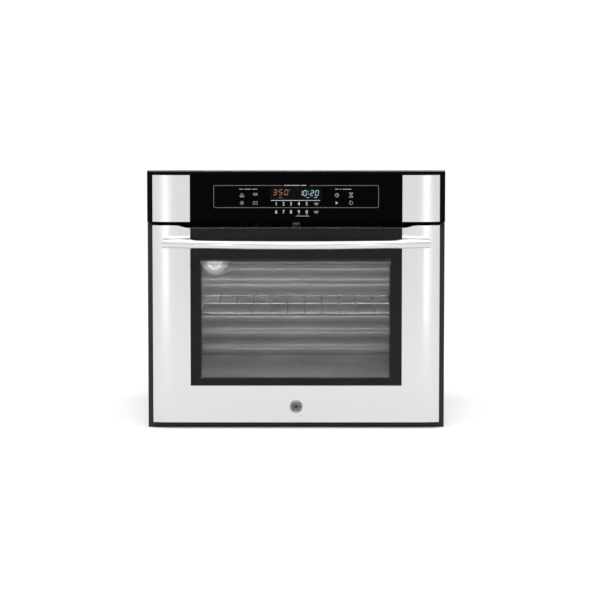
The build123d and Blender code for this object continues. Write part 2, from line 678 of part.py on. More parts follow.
def relay_board():
    """Power board on four pillars, with its relays and transformer."""
    x0, y0, y1 = -CHASSIS_HALF + BOARD_INSET, 90, 230
    x1 = x0 + 160
    z = DECK_Z + 12
    board = slab(x0, x1, y0, y1, z, z + 1.6)
    for x in (x0 + 8, x1 - 8):
        for y in (y0 + 8, y1 - 8):
            board += rod_z(3, DECK_Z, z, x, y)
    for number in range(5):
        x = x0 + 14 + number * 27
        board += slab(x, x + 18, y0 + 16, y0 + 32, z + 1.6, z + 18)
    board += slab(x0 + 20, x0 + 62, y1 - 60, y1 - 22, z + 1.6, z + 34)
    return board + slab(x1 - 60, x1 - 20, y1 - 40, y1 - 28, z + 1.6, z + 12)


def box_bottom():
    return CHASSIS_TOP - BOX_DROP


def terminal_box():
    """Junction box on the rear panel for the supply wires."""
    low = box_bottom()
    x0, x1 = -BOX_X - BOX_WIDTH / 2, -BOX_X + BOX_WIDTH / 2
    box = slab(x0, x1, CHASSIS_DEPTH, CHASSIS_DEPTH + BOX_DEPTH, low, low + BOX_HEIGHT)
    box -= slab(x0 + SHEET, x1 - SHEET, CHASSIS_DEPTH - 1, CHASSIS_DEPTH + BOX_DEPTH - SHEET,
                low + SHEET, low + BOX_HEIGHT - SHEET)
    return box - rod_z(NECK_RADIUS, low - 1, low + 3, -BOX_X, gland_y())


def gland_y():
    return CHASSIS_DEPTH + BOX_DEPTH / 2


def conduit_gland():
    """Conduit socket under the box, its neck through the box's floor and its locknut inside."""
    x, y, low = -BOX_X, gland_y(), box_bottom()
    shoulder = low - GLAND_SHOULDER
    mouth = shoulder - GLAND_SOCKET
    gland = rod_z(GLAND_BORE + GLAND_WALL, mouth, low, x, y)
    gland += rod_z(NECK_RADIUS, low, low + NECK_LENGTH, x, y)
    gland += Pos(x, y, low + SHEET) * extrude(RegularPolygon(NUT_RADIUS, 6), amount=NUT_HEIGHT)
    gland -= rod_z(GLAND_BORE, mouth - 1, shoulder, x, y)
    return gland - rod_z(NECK_BORE, mouth, low + NECK_LENGTH + 1, x, y)


def chassis_screws():
    """Hexagon-headed screws that hold the rear panel."""
    screws = []
    rear = CHASSIS_DEPTH
    for z in rear_screw_heights():
        for side in (-1, 1):
            x = side * rear_screw_x()
            head = prism_y(RegularPolygon(SCREW_HEAD, 6), rear, rear + SCREW_HEAD_HEIGHT)
            screws.append(Pos(x, 0, z) * head + rod_y(SCREW, rear - 8, rear, x, z))
    return Compound(children=screws)


# ---- Latch and door switch
def latch_bracket():
    """Folded bracket on the deck, with the latch's pivot pin between its ears."""
    x = LATCH_WIDTH / 2 + 1.5
    base = slab(-x - 2, x + 2, 2, 60, DECK_Z, DECK_Z + 1.5)
    ears = [slab(s, s + 2, LATCH_PIVOT_Y - 8, LATCH_PIVOT_Y + 8, DECK_Z, LATCH_Z + 7)
            for s in (-x - 2, x)]
    pin = rod_x(LATCH_PIN, -x - 2, x + 2, LATCH_PIVOT_Y, LATCH_Z)
    return base + ears + pin


def latch_hook():
    """Arm on the pivot pin, ending in a pointed tongue above the door."""
    half = LATCH_WIDTH / 2
    front = LATCH_PIVOT_Y - LATCH_REACH
    low, high = LATCH_Z - LATCH_SHEET / 2, LATCH_Z + LATCH_SHEET / 2
    arm = slab(-half, half, front, LATCH_PIVOT_Y, low, high)
    eye = rod_x(LATCH_PIN + 2.5, -half, half, LATCH_PIVOT_Y, LATCH_Z)
    tongue = Polygon((-half, high), (half, high), (1, high - TONGUE_HEIGHT),
                     (-1, high - TONGUE_HEIGHT), align=None)
    hook = arm + eye + prism_y(tongue, front - LATCH_SHEET, front)
    bore = LATCH_PIN + PIN_CLEARANCE
    return hook - rod_x(bore, -half - 1, half + 1, LATCH_PIVOT_Y, LATCH_Z)


def latch_motor():
    """Small gear motor that drives the latch, behind its bracket."""
    body = slab(-20, 20, 62, 104, DECK_Z, DECK_Z + 26)
    body = fillet(body.edges().filter_by(Axis.Z), 4)
    return body + rod_z(8, DECK_Z + 26, DECK_Z + 32, 0, 83)


def switch_x():
    return DOOR_HALF - SWITCH_INSET


def switch_z():
    return DOOR_MID_TOP - SWITCH_DROP


def door_switch():
    """Switch body on the back of the front frame."""
    x, z = switch_x(), switch_z()
    body = slab(x - 7, x + 7, 0, 26, z - 14, z + 8)
    return body - rod_y(PLUNGER_RADIUS + TOUCH_GAP, -1, 21, x, z)


def switch_plunger():
    """Round plunger that the closed door holds in."""
    start = BACK_Y + TOUCH_GAP
    plunger = rod_y(PLUNGER_RADIUS, start, start + PLUNGER_LENGTH, switch_x(), switch_z())
    return fillet(plunger.faces().sort_by(Axis.Y)[0].edges(), 1.5)


# ---- Control front
def control_surround():
    """Black housing round the control front, open at its face and at the back."""
    low = CONTROL_BOTTOM - HOUSING_LIP
    outer = wide_slab(HALF_WIDTH, -HOUSING_DEPTH, -SHEET, low, OVERALL_HEIGHT)
    wall = HOUSING_WALL
    outer -= wide_slab(HALF_WIDTH - wall, -HOUSING_DEPTH + wall, 0, low + wall, OVERALL_HEIGHT - wall)
    return outer - wide_slab(DOOR_HALF + 0.6, -HOUSING_DEPTH - 1, -HOUSING_DEPTH + wall + 1,
                             low + wall, CONTROL_TOP + 0.4)


def control_glass():
    """Flat touch glass across the middle of the control front."""
    plate = wide_slab(GLASS_HALF - GLASS_GAP, FRONT_Y, FRONT_Y + GLASS, CONTROL_BOTTOM, CONTROL_TOP)
    return chamfer(plate.faces().sort_by(Axis.Y)[0].edges(), 0.4)


def end_cap():
    """Stainless end of the control front, eased back like the door below it."""
    low, high = CONTROL_BOTTOM, CONTROL_TOP
    shell = prism_z(front_plan(0, -18), low, high)
    shell -= prism_z(front_plan(SKIN, -17), low + SKIN, high - SKIN)
    return shell & slab(GLASS_HALF, DOOR_HALF + 1, FRONT_Y - 1, 0, low - 1, high + 1)


def control_board():
    """Touch and display board behind the control glass, on its two rails."""
    mid = (CONTROL_TOP + CONTROL_BOTTOM) / 2
    board = wide_slab(200, -32, -30.4, CONTROL_BOTTOM + 14, CONTROL_TOP - 14)
    board += wide_slab(72, FRONT_Y + GLASS, -32, mid + 2, mid + 42)
    for x in (-190, 180):
        board += slab(x, x + 10, FRONT_Y + GLASS, -32, CONTROL_BOTTOM + 14, CONTROL_TOP - 14)
    return board


# ---- Door
def door_skin():
    """Stainless outer door: front, sides, top and bottom folded from one sheet."""
    skin = door_body(0, BACK_Y) - door_body(SKIN, BACK_Y + 5)
    skin -= wide_slab(GLASS_HALF, FRONT_Y - 1, FRONT_Y + GLASS, GLASS_BOTTOM, DOOR_TOP + 5)
    low = GLASS_BOTTOM - SKIN
    high = DOOR_MID_TOP - SKIN
    inside = FRONT_Y + SKIN
    seat = FRONT_Y + GLASS
    ledge = wide_slab(GLASS_HALF + SKIN, inside, seat + SKIN, low, high)
    ledge -= wide_slab(GLASS_HALF, inside - 1, seat, GLASS_BOTTOM, high + 1)
    ledge -= wide_slab(GLASS_HALF - GLASS_SEAT, inside - 1, seat + 5,
                       GLASS_BOTTOM + GLASS_SEAT, high - GLASS_SEAT)
    skin += ledge
    skin -= hinge_slot()
    skin -= slab(-LATCH_WIDTH / 2 - 2, LATCH_WIDTH / 2 + 2, latch_tongue_y() - 6,
                 latch_tongue_y() + 5, DOOR_MID_TOP - 5, DOOR_MID_TOP + 5)
    vents = [30 + 25 * i for i in range(8)]
    for side in (-1, 1):
        skin -= [slab(side * x - 9, side * x + 9, BACK_Y - 14, BACK_Y - 10,
                      DOOR_MID_TOP - 5, DOOR_MID_TOP + 5) for x in vents]
        skin -= rod_y(SCREW_HOLE + 0.6, FRONT_Y - 2, FRONT_Y + 5, side * post_x(), HANDLE_Z)
    return skin


def latch_tongue_y():
    return LATCH_PIVOT_Y - LATCH_REACH


def door_glass():
    """Outer glass, flush with the skin and up to the door's top edge."""
    half = GLASS_HALF - GLASS_GAP
    plate = wide_slab(half, FRONT_Y, FRONT_Y + GLASS, GLASS_BOTTOM + GLASS_GAP, DOOR_MID_TOP)
    return chamfer(plate.faces().sort_by(Axis.Y)[0].edges(), 0.4)


def door_liner():
    """Porcelain inner door with a rim turned forward and a raised middle round the window."""
    gap = SKIN + 0.2
    face = BACK_Y - SKIN
    rim = door_solid(gap, face - 7, BACK_Y) - door_solid(gap + SKIN, face - 8, face)
    half = CAVITY_HALF - BOSS_INSET
    low, high = CAVITY_FLOOR + BOSS_FOOT, CAVITY_TOP - BOSS_HEAD
    rear = BACK_Y + BOSS_HEIGHT
    liner = rim - wide_slab(half, face - 1, BACK_Y + 1, low, high)
    boss = wide_slab(half, face, rear, low, high)
    boss -= wide_slab(half - SKIN, face - 1, rear - SKIN, low + SKIN, high - SKIN)
    boss = fillet(boss.faces().sort_by(Axis.Y)[-1].edges(), 0.9)
    boss -= wide_slab(WINDOW_HALF, face - 1, rear + 1, WINDOW_BOTTOM, WINDOW_TOP)
    liner += boss
    liner -= hinge_slot()
    for side in (-1, 1):
        for z in liner_screw_heights():
            liner -= rod_y(SCREW_HOLE, face - 2, BACK_Y + 2, side * liner_screw_x(), z)
    return liner


def liner_screw_x():
    return HINGE_X + CHANNEL_INNER + CHANNEL_SHEET + 6


def liner_screw_heights():
    return [CHANNEL_TOP - 80, CHANNEL_TOP - 20]


def pane(y0, lap):
    return wide_slab(WINDOW_HALF + lap, y0, y0 + GLASS, WINDOW_BOTTOM - lap, WINDOW_TOP + lap)


def inner_pane_y():
    return BACK_Y + BOSS_HEIGHT - SKIN - GLASS


def door_glass_inner():
    return pane(inner_pane_y(), PANE_LAP)


def door_glass_middle():
    return pane(inner_pane_y() - PANE_SPACING - GLASS, PANE_LAP + 6)


def glass_frame():
    """Spacer frame that holds the two rear panes apart."""
    y1 = inner_pane_y()
    y0 = y1 - PANE_SPACING
    lap = PANE_LAP
    outer = wide_slab(WINDOW_HALF + lap, y0, y1, WINDOW_BOTTOM - lap, WINDOW_TOP + lap)
    return outer - wide_slab(WINDOW_HALF + 4, y0 - 1, y1 + 1, WINDOW_BOTTOM - 4, WINDOW_TOP + 4)


def door_insulation():
    """Fibre pad inside the door, round the glass pack."""
    half = GLASS_HALF + 30
    outer = wide_slab(half, FRONT_Y + 7, BACK_Y - SKIN - 1.5, DOOR_BOTTOM + 25, DOOR_MID_TOP - 10)
    lap = PANE_LAP + 12
    return outer - wide_slab(WINDOW_HALF + lap, FRONT_Y, 0, WINDOW_BOTTOM - lap, WINDOW_TOP + lap)


def badge():
    """Plain round badge low on the door."""
    disc = rod_y(BADGE_RADIUS, FRONT_Y - BADGE_THICKNESS, FRONT_Y, 0, BADGE_Z)
    return fillet(disc.faces().sort_by(Axis.Y)[0].edges(), 0.6)


# ---- Handle
def post_x():
    return HANDLE_HALF - POST_INSET


def handle_path():
    end_y = FRONT_Y - HANDLE_STANDOFF
    return ThreePointArc((-HANDLE_HALF, end_y, HANDLE_Z), (0, end_y - HANDLE_BOW, HANDLE_Z),
                         (HANDLE_HALF, end_y, HANDLE_Z))


def bar_solid(radius):
    path = handle_path()
    return sweep(Plane(origin=path @ 0, z_dir=path % 0) * Circle(radius), path=path)


def handle_bar():
    """Bowed tube across the door."""
    return bar_solid(HANDLE_RADIUS) - bar_solid(HANDLE_RADIUS - HANDLE_WALL)


def handle_post():
    """Tapered post between the bar's end and the door, seated on both."""
    length = HANDLE_STANDOFF + HANDLE_BOW / 4 + 6
    cone = Cone(POST_RADIUS_DOOR, POST_RADIUS_BAR, length)
    post = Pos(post_x(), FRONT_Y + 3 - length / 2, HANDLE_Z) * Rot(90, 0, 0) * cone
    post -= door_body(0, BACK_Y)
    post -= bar_solid(HANDLE_RADIUS)
    post = max(post.solids(), key=lambda solid: solid.bounding_box().max.Y)
    return post - rod_y(SCREW_HOLE + 0.4, FRONT_Y - 14, FRONT_Y + 2, post_x(), HANDLE_Z)


def door_screws():
    """Two handle screws from inside the door and four that hold the inner door."""
    screws = []
    for side in (-1, 1):
        x = side * post_x()
        inside = FRONT_Y + SKIN + EDGE_DROP / 4
        head = rod_y(SCREW_HEAD + 1, inside, inside + 3, x, HANDLE_Z)
        screws.append(head + rod_y(SCREW_HOLE + 0.4, FRONT_Y - 13, inside, x, HANDLE_Z))
        for z in liner_screw_heights():
            x = side * liner_screw_x()
            head = rod_y(SCREW_HEAD, BACK_Y, BACK_Y + SCREW_HEAD_HEIGHT, x, z)
            screws.append(head + rod_y(SCREW, BACK_Y - 8, BACK_Y, x, z))
    return Compound(children=screws)


# ---- Hinge
def cam_point(share):
    """Place on the cam's edge, from the top with the door shut to the front with it open."""
    angle = radians(90 + 90 * share)
    radius = CAM_RADIUS + CAM_RISE * share
    return PIVOT_Y + radius * cos(angle), PIVOT_Z + radius * sin(angle)


def hinge_arm():
    """Fixed arm: hooks into the receiver and ends in the pivot eye with its cam."""
    x0, x1 = HINGE_X - ARM_THICKNESS / 2, HINGE_X + ARM_THICKNESS / 2
    bar = slab(x0, x1, PIVOT_Y, ARM_BACK, PIVOT_Z - ARM_BOTTOM, PIVOT_Z + ARM_TOP - 2)
    steps = 6
    edge = Spline(*[cam_point(step / steps) for step in range(steps + 1)])
    centre = (PIVOT_Y, PIVOT_Z)
    cam = make_face([edge, Line(cam_point(1), centre), Line(centre, cam_point(0))])
    arm = bar + rod_x(CAM_RADIUS, x0, x1, PIVOT_Y, PIVOT_Z) + prism_x(cam, x0, x1)
    arm -= rod_x(PIN_RADIUS + PIN_CLEARANCE, x0 - 1, x1 + 1, PIVOT_Y, PIVOT_Z)
    hook = slab(x0 - 1, x1 + 1, ARM_BACK - 16, ARM_BACK - 10, PIVOT_Z - ARM_BOTTOM - 1, PIVOT_Z - 1)
    return arm - hook


def hinge_receiver():
    """Pocket behind the front frame that the arm hooks into."""
    gap = TOUCH_GAP
    x0, x1 = HINGE_X - ARM_THICKNESS / 2 - gap, HINGE_X + ARM_THICKNESS / 2 + gap
    low, high = PIVOT_Z - ARM_BOTTOM, PIVOT_Z + ARM_TOP + 3
    wall = CHANNEL_SHEET
    pocket = slab(x0 - wall, x1 + wall, 0, ARM_BACK + 8, low - wall, high + wall)
    pocket -= slab(x0, x1, -1, ARM_BACK + 5, low, high)
    catch = slab(x0, x1, ARM_BACK - 15.7, ARM_BACK - 10.3, low, PIVOT_Z - 1.5)
    return pocket + catch


def hinge_channel():
    """Two cheeks in the door with the pivot pin, the spring's bridge and fixing flanges."""
    inner, outer = CHANNEL_INNER, CHANNEL_INNER + CHANNEL_SHEET
    front, rear = FRONT_Y + SKIN + CHANNEL_GAP, BACK_Y - SKIN
    foot = DOOR_BOTTOM + SKIN + 0.2 + SKIN + 0.4
    channel = slab(-outer, outer, front, rear, foot, CHANNEL_TOP)
    channel -= slab(-inner, inner, front - 1, rear + 1, foot - 1, CHANNEL_TOP + 1)
    web_foot = PIVOT_Z + CAM_RADIUS + CAM_RISE + 7
    channel += slab(-outer, outer, front, front + CHANNEL_SHEET, web_foot, CHANNEL_TOP)
    channel += slab(outer, outer + 12, rear - CHANNEL_SHEET, rear, web_foot, CHANNEL_TOP)
    for z in liner_screw_heights():
        channel -= rod_y(SCREW_HOLE, rear - 5, rear + 5, outer + 6, z)
    bridge = slab(-inner, inner, front, rear, BRIDGE_Z, BRIDGE_Z + 2)
    channel += bridge - rod_z(PUSH_ROD + TOUCH_GAP, BRIDGE_Z - 1, BRIDGE_Z + 3, 0, PIVOT_Y)
    channel += rod_x(PIN_RADIUS, -outer, outer, PIVOT_Y, PIVOT_Z)
    return Pos(HINGE_X, 0, 0) * channel


def hinge_follower():
    """Push rod whose nose rides on the cam and whose collar presses the spring."""
    nose = rod_x(NOSE_RADIUS, -4, 4, PIVOT_Y, NOSE_Z)
    rod = rod_z(PUSH_ROD, NOSE_Z, BRIDGE_Z + 14, 0, PIVOT_Y)
    collar = rod_z(SPRING_RADIUS + 1, SPRING_SEAT - 3, SPRING_SEAT, 0, PIVOT_Y)
    return nose + rod + collar


def hinge_followers():
    follower = hinge_follower()
    return Compound(children=[Pos(side * HINGE_X, 0, 0) * follower for side in (-1, 1)])


def hinge_springs():
    """Compression springs between the collars and the bridges."""
    low, high = SPRING_SEAT + SPRING_WIRE + 0.1, BRIDGE_Z - SPRING_WIRE - 0.1
    path = Helix(pitch=(high - low) / SPRING_TURNS, height=high - low, radius=SPRING_RADIUS)
    coil = sweep(Plane(origin=path @ 0, z_dir=path % 0) * Circle(SPRING_WIRE), path=path)
    place = Pos(0, PIVOT_Y, low)
    return Compound(children=[Pos(side * HINGE_X, 0, 0) * place * coil for side in (-1, 1)])


# ---- Write every part
RIGHT_AND_LEFT = {
    "side_panel": side_panel(),
    "side_trim": side_trim(),
    "end_cap": end_cap(),
    "hinge_receiver": hinge_receiver(),
    "hinge_arm": hinge_arm(),
    "hinge_channel": hinge_channel(),
    "handle_post": handle_post(),
}
PARTS = {
    "base_pan": base_pan(),
    "rear_panel": rear_panel(),
    "top_panel": top_panel(),
    "front_frame": front_frame(),
    "bottom_trim": bottom_trim(),
    "insulation_blanket": insulation_blanket(),
    "oven_liner": oven_liner(),
    "liner_back": liner_back(),
    "bake_element": bake_element(),
    "broil_element": broil_element(),
    "temperature_sensor": temperature_sensor(),
    "lamp_socket": lamp_socket(),
    "lamp_bulb": lamp_bulb(),
    "lamp_lens": lamp_lens(),
    "vent_tube": vent_tube(),
    "cooling_duct": cooling_duct(),
    "blower_housing": blower_housing(),
    "blower_motor": blower_motor(),
    "blower_wheel": blower_wheel(),
    "relay_board": relay_board(),
    "terminal_box": terminal_box(),
    "conduit_gland": conduit_gland(),
    "latch_bracket": latch_bracket(),
    "latch_motor": latch_motor(),
    "latch_hook": latch_hook(),
    "door_switch": door_switch(),
    "switch_plunger": switch_plunger(),
    "control_surround": control_surround(),
    "control_glass": control_glass(),
    "control_board": control_board(),
    "door_gasket": door_gasket(),
    "chassis_screws": chassis_screws(),
    "rack_upper": rack(rack_height(RACK_UPPER_POSITION)),
    "rack_lower": rack(rack_height(RACK_LOWER_POSITION)),
    "door_skin": door_skin(),
    "door_glass": door_glass(),
    "door_liner": door_liner(),
    "door_glass_middle": door_glass_middle(),
    "door_glass_inner": door_glass_inner(),
    "glass_frame": glass_frame(),
    "door_insulation": door_insulation(),
    "handle_bar": handle_bar(),
    "badge": badge(),
    "door_screws": door_screws(),
    "hinge_followers": hinge_followers(),
    "hinge_springs": hinge_springs(),
}
for name, shape in RIGHT_AND_LEFT.items():
    PARTS[name + "_right"] = shape
    PARTS[name + "_left"] = to_left(shape)

os.makedirs("parts", exist_ok=True)
for name, shape in PARTS.items():
    export_step(shape, f"parts/{name}.step")
print(len(PARTS), "parts written")
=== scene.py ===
"""Looks for the wall oven: materials, printed and lit details, studio and camera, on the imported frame."""
import json
import math

import bmesh
import bpy
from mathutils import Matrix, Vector


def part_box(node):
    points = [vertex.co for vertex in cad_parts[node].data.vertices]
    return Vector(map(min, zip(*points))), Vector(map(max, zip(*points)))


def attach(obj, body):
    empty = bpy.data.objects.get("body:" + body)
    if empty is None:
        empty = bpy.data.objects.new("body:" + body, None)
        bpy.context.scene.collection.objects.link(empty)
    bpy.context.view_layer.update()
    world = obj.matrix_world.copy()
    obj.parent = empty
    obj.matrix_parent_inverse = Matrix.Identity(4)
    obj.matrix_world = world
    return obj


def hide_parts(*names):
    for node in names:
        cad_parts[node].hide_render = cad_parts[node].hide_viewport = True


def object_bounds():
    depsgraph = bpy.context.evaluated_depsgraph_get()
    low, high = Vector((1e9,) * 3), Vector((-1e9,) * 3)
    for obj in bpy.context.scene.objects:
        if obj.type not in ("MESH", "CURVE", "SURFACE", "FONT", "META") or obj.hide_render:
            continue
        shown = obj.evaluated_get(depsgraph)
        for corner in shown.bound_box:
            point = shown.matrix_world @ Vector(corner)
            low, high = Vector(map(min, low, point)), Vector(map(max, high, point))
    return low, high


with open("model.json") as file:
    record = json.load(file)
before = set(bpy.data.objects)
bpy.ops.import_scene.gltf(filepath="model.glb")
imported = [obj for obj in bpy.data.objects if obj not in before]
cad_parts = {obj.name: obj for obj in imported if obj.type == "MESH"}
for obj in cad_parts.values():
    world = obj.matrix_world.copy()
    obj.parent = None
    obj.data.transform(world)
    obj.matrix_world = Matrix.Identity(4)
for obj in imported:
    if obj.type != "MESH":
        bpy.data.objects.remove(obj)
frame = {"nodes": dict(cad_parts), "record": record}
CAD_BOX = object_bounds()
SCENE = bpy.context.scene


# ---- Materials
class Recipe:
    """A new material with its Principled shader and the object's own coordinates ready to use."""

    def __init__(self, name, base, rough, metal=0.0, spec=0.5, alpha=1.0):
        self.material = bpy.data.materials.new(name)
        self.material.use_nodes = True
        self.tree = self.material.node_tree
        self.shader = self.tree.nodes["Principled BSDF"]
        self.set("Base Color", (*base, 1))
        self.set("Roughness", rough)
        self.set("Metallic", metal)
        self.set("Specular IOR Level", spec)
        self.set("Alpha", alpha)
        self.base = base
        self.rough = rough
        self.coords = self.node("ShaderNodeTexCoord").outputs["Object"]

    def node(self, kind, **settings):
        made = self.tree.nodes.new(kind)
        for key, value in settings.items():
            setattr(made, key, value)
        return made

    def set(self, socket, value):
        self.shader.inputs[socket].default_value = value

    def link(self, source, target):
        self.tree.links.new(source, target)

    def stretched(self, scale):
        mapping = self.node("ShaderNodeMapping")
        mapping.inputs["Scale"].default_value = scale
        self.link(self.coords, mapping.inputs["Vector"])
        return mapping.outputs["Vector"]

    def noise(self, scale, stretch=(1, 1, 1), detail=3.0, roughness=0.5):
        tex = self.node("ShaderNodeTexNoise")
        tex.inputs["Scale"].default_value = scale
        tex.inputs["Detail"].default_value = detail
        tex.inputs["Roughness"].default_value = roughness
        self.link(self.stretched(stretch), tex.inputs["Vector"])
        return tex.outputs["Fac"]

    def cells(self, scale, stretch=(1, 1, 1), feature="F1", output="Distance"):
        tex = self.node("ShaderNodeTexVoronoi", feature=feature)
        tex.inputs["Scale"].default_value = scale
        self.link(self.stretched(stretch), tex.inputs["Vector"])
        return tex.outputs[output]

    def remap(self, value, low, high, start=0.3, end=0.7):
        node = self.node("ShaderNodeMapRange")
        for name, number in zip(("From Min", "From Max", "To Min", "To Max"), (start, end, low, high)):
            node.inputs[name].default_value = number
        self.link(value, node.inputs["Value"])
        return node.outputs["Result"]

    def mix(self, factor, first, second):
        node = self.node("ShaderNodeMix", data_type="RGBA")
        colours = [s for s in node.inputs if s.type == "RGBA"]
        for socket, colour in zip(colours, (first, second)):
            if isinstance(colour, tuple):
                socket.default_value = (*colour, 1)
            else:
                self.link(colour, socket)
        self.link(factor, node.inputs[0])
        return [s for s in node.outputs if s.type == "RGBA"][0]

    def shade(self, factor, spread):
        """Base colour a little darker and lighter, by a factor from 0 to 1."""
        dark = tuple(c * (1 - spread) for c in self.base)
        light = tuple(min(1, c * (1 + spread)) for c in self.base)
        self.link(self.mix(factor, dark, light), self.shader.inputs["Base Color"])

    def vary_rough(self, value, spread):
        self.link(self.remap(value, max(0.02, self.rough - spread), self.rough + spread),
                  self.shader.inputs["Roughness"])

    def bump(self, height, distance, strength=1.0):
        node = self.node("ShaderNodeBump")
        node.inputs["Distance"].default_value = distance
        node.inputs["Strength"].default_value = strength
        self.link(height, node.inputs["Height"])
        self.link(node.outputs["Normal"], self.shader.inputs["Normal"])


def brushed(name, base, rough, grain=(1, 40, 40), spread=0.03, depth=0.000004):
    """Metal with fine lines along one axis, and faint broad clouding."""
    r = Recipe(name, base, rough, metal=1.0)
    lines = r.noise(60, grain, detail=4)
    cloud = r.noise(5, detail=2)
    r.shade(r.remap(lines, 0, 1), spread)
    r.vary_rough(cloud, 0.03)
    r.bump(lines, depth)
    return r.material


def painted(name, base, rough, spec=0.5, peel=0.00002, scale=900, spread=0.12):
    """Paint or enamel with a faint orange-peel surface."""
    r = Recipe(name, base, rough, spec=spec)
    peel_noise = r.noise(scale, detail=2)
    r.shade(r.remap(r.noise(14), 0, 1), spread)
    r.vary_rough(r.noise(40), 0.06)
    r.bump(peel_noise, peel)
    return r.material


def galvanised(name, base, rough):
    """Zinc-coated sheet with its crystal spangle."""
    r = Recipe(name, base, rough, metal=1.0)
    spangle = r.cells(90, output="Color")
    r.shade(r.remap(spangle, 0, 1, 0, 1), 0.07)
    r.vary_rough(spangle, 0.05)
    r.bump(r.noise(300), 0.00001)
    return r.material


def porcelain(name, base, rough):
    """Dark enamel with small pale speckles."""
    r = Recipe(name, base, rough, spec=0.5)
    speck = r.remap(r.cells(420), 1, 0, 0.10, 0.22)
    shade = r.mix(r.remap(r.noise(9), 0, 1), tuple(c * 0.85 for c in base), tuple(c * 1.15 for c in base))
    r.link(r.mix(speck, shade, (0.235, 0.24, 0.25)), r.shader.inputs["Base Color"])
    r.vary_rough(r.noise(60), 0.012)
    r.bump(r.noise(120), 0.000003)
    return r.material


def moulded(name, base, rough, scale=1500, depth=0.00003):
    r = Recipe(name, base, rough, spec=0.4)
    r.shade(r.remap(r.noise(30), 0, 1), 0.15)
    r.vary_rough(r.noise(200), 0.05)
    r.bump(r.noise(scale), depth)
    return r.material


def fibre(name, base, scale=260, stretch=(1, 1, 1), depth=0.0006):
    r = Recipe(name, base, 0.95, spec=0.1)
    wool = r.noise(scale, stretch, detail=6)
    r.shade(r.remap(wool, 0, 1), 0.3)
    r.bump(wool, depth)
    return r.material


def glass(name, base, rough, alpha, spec=0.5):
    """Flat glass that lets lamps through, with the faintest smears in its gloss."""
    r = Recipe(name, base, rough, spec=spec, alpha=alpha)
    r.vary_rough(r.noise(6, detail=4), 0.015)
    r.shade(r.remap(r.noise(3), 0, 1), 0.1)
    return r.material


def glowing(name, colour, strength):
    r = Recipe(name, (0.02, 0.02, 0.02), 0.4)
    r.set("Emission Color", (*colour, 1))
    r.set("Emission Strength", strength)
    r.shade(r.remap(r.noise(200), 0, 1), 0.2)
    return r.material


def circuit(name):
    """Solder-masked board with pale pads and tracks."""
    r = Recipe(name, (0.02, 0.12, 0.05), 0.4)
    pads = r.remap(r.cells(300), 1, 0, 0.10, 0.16)
    tracks = r.remap(r.noise(90, (1, 8, 1)), 0, 1, 0.48, 0.56)
    board = r.mix(tracks, (0.012, 0.09, 0.035), (0.03, 0.16, 0.07))
    r.link(r.mix(pads, board, (0.7, 0.68, 0.6)), r.shader.inputs["Base Color"])
    r.vary_rough(pads, 0.1)
    return r.material


def lens_glow():
    """Ribbed lamp glass with a painted glow standing in for the bulb's light behind it: bright rings that
    fade to the rim.
    """
    r = Recipe("lamp_glow", (0.26, 0.265, 0.265), 0.12, alpha=0.9)
    low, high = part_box("lamp_lens")
    centre = (low + high) / 2
    apart = r.node("ShaderNodeVectorMath", operation="SUBTRACT")
    apart.inputs[1].default_value = centre
    r.link(r.coords, apart.inputs[0])
    flat = r.node("ShaderNodeVectorMath", operation="MULTIPLY")
    flat.inputs[1].default_value = (1, 0, 1)
    r.link(apart.outputs[0], flat.inputs[0])
    radius = r.node("ShaderNodeVectorMath", operation="LENGTH")
    r.link(flat.outputs[0], radius.inputs[0])
    ramp = r.node("ShaderNodeValToRGB")
    # painted highlight rings: glow level by distance from the lens centre
    stops = [(0.0, 0.62), (0.30, 0.60), (0.42, 1.6), (0.50, 1.5), (0.56, 0.5), (0.64, 0.95), (0.70, 0.35),
             (0.78, 0.75), (0.86, 0.28), (1.0, 0.2)]
    while len(ramp.color_ramp.elements) < len(stops):
        ramp.color_ramp.elements.new(0.5)
    for element, (place, level) in zip(ramp.color_ramp.elements, stops):
        element.position = place
        element.color = (level / 1.6, level / 1.6, level / 1.6, 1)
    r.link(r.remap(radius.outputs["Value"], 0, 1, 0, (high.x - low.x) / 2), ramp.inputs["Fac"])
    r.link(ramp.outputs["Color"], r.shader.inputs["Emission Color"])
    r.set("Emission Strength", 1.0)
    return r.material


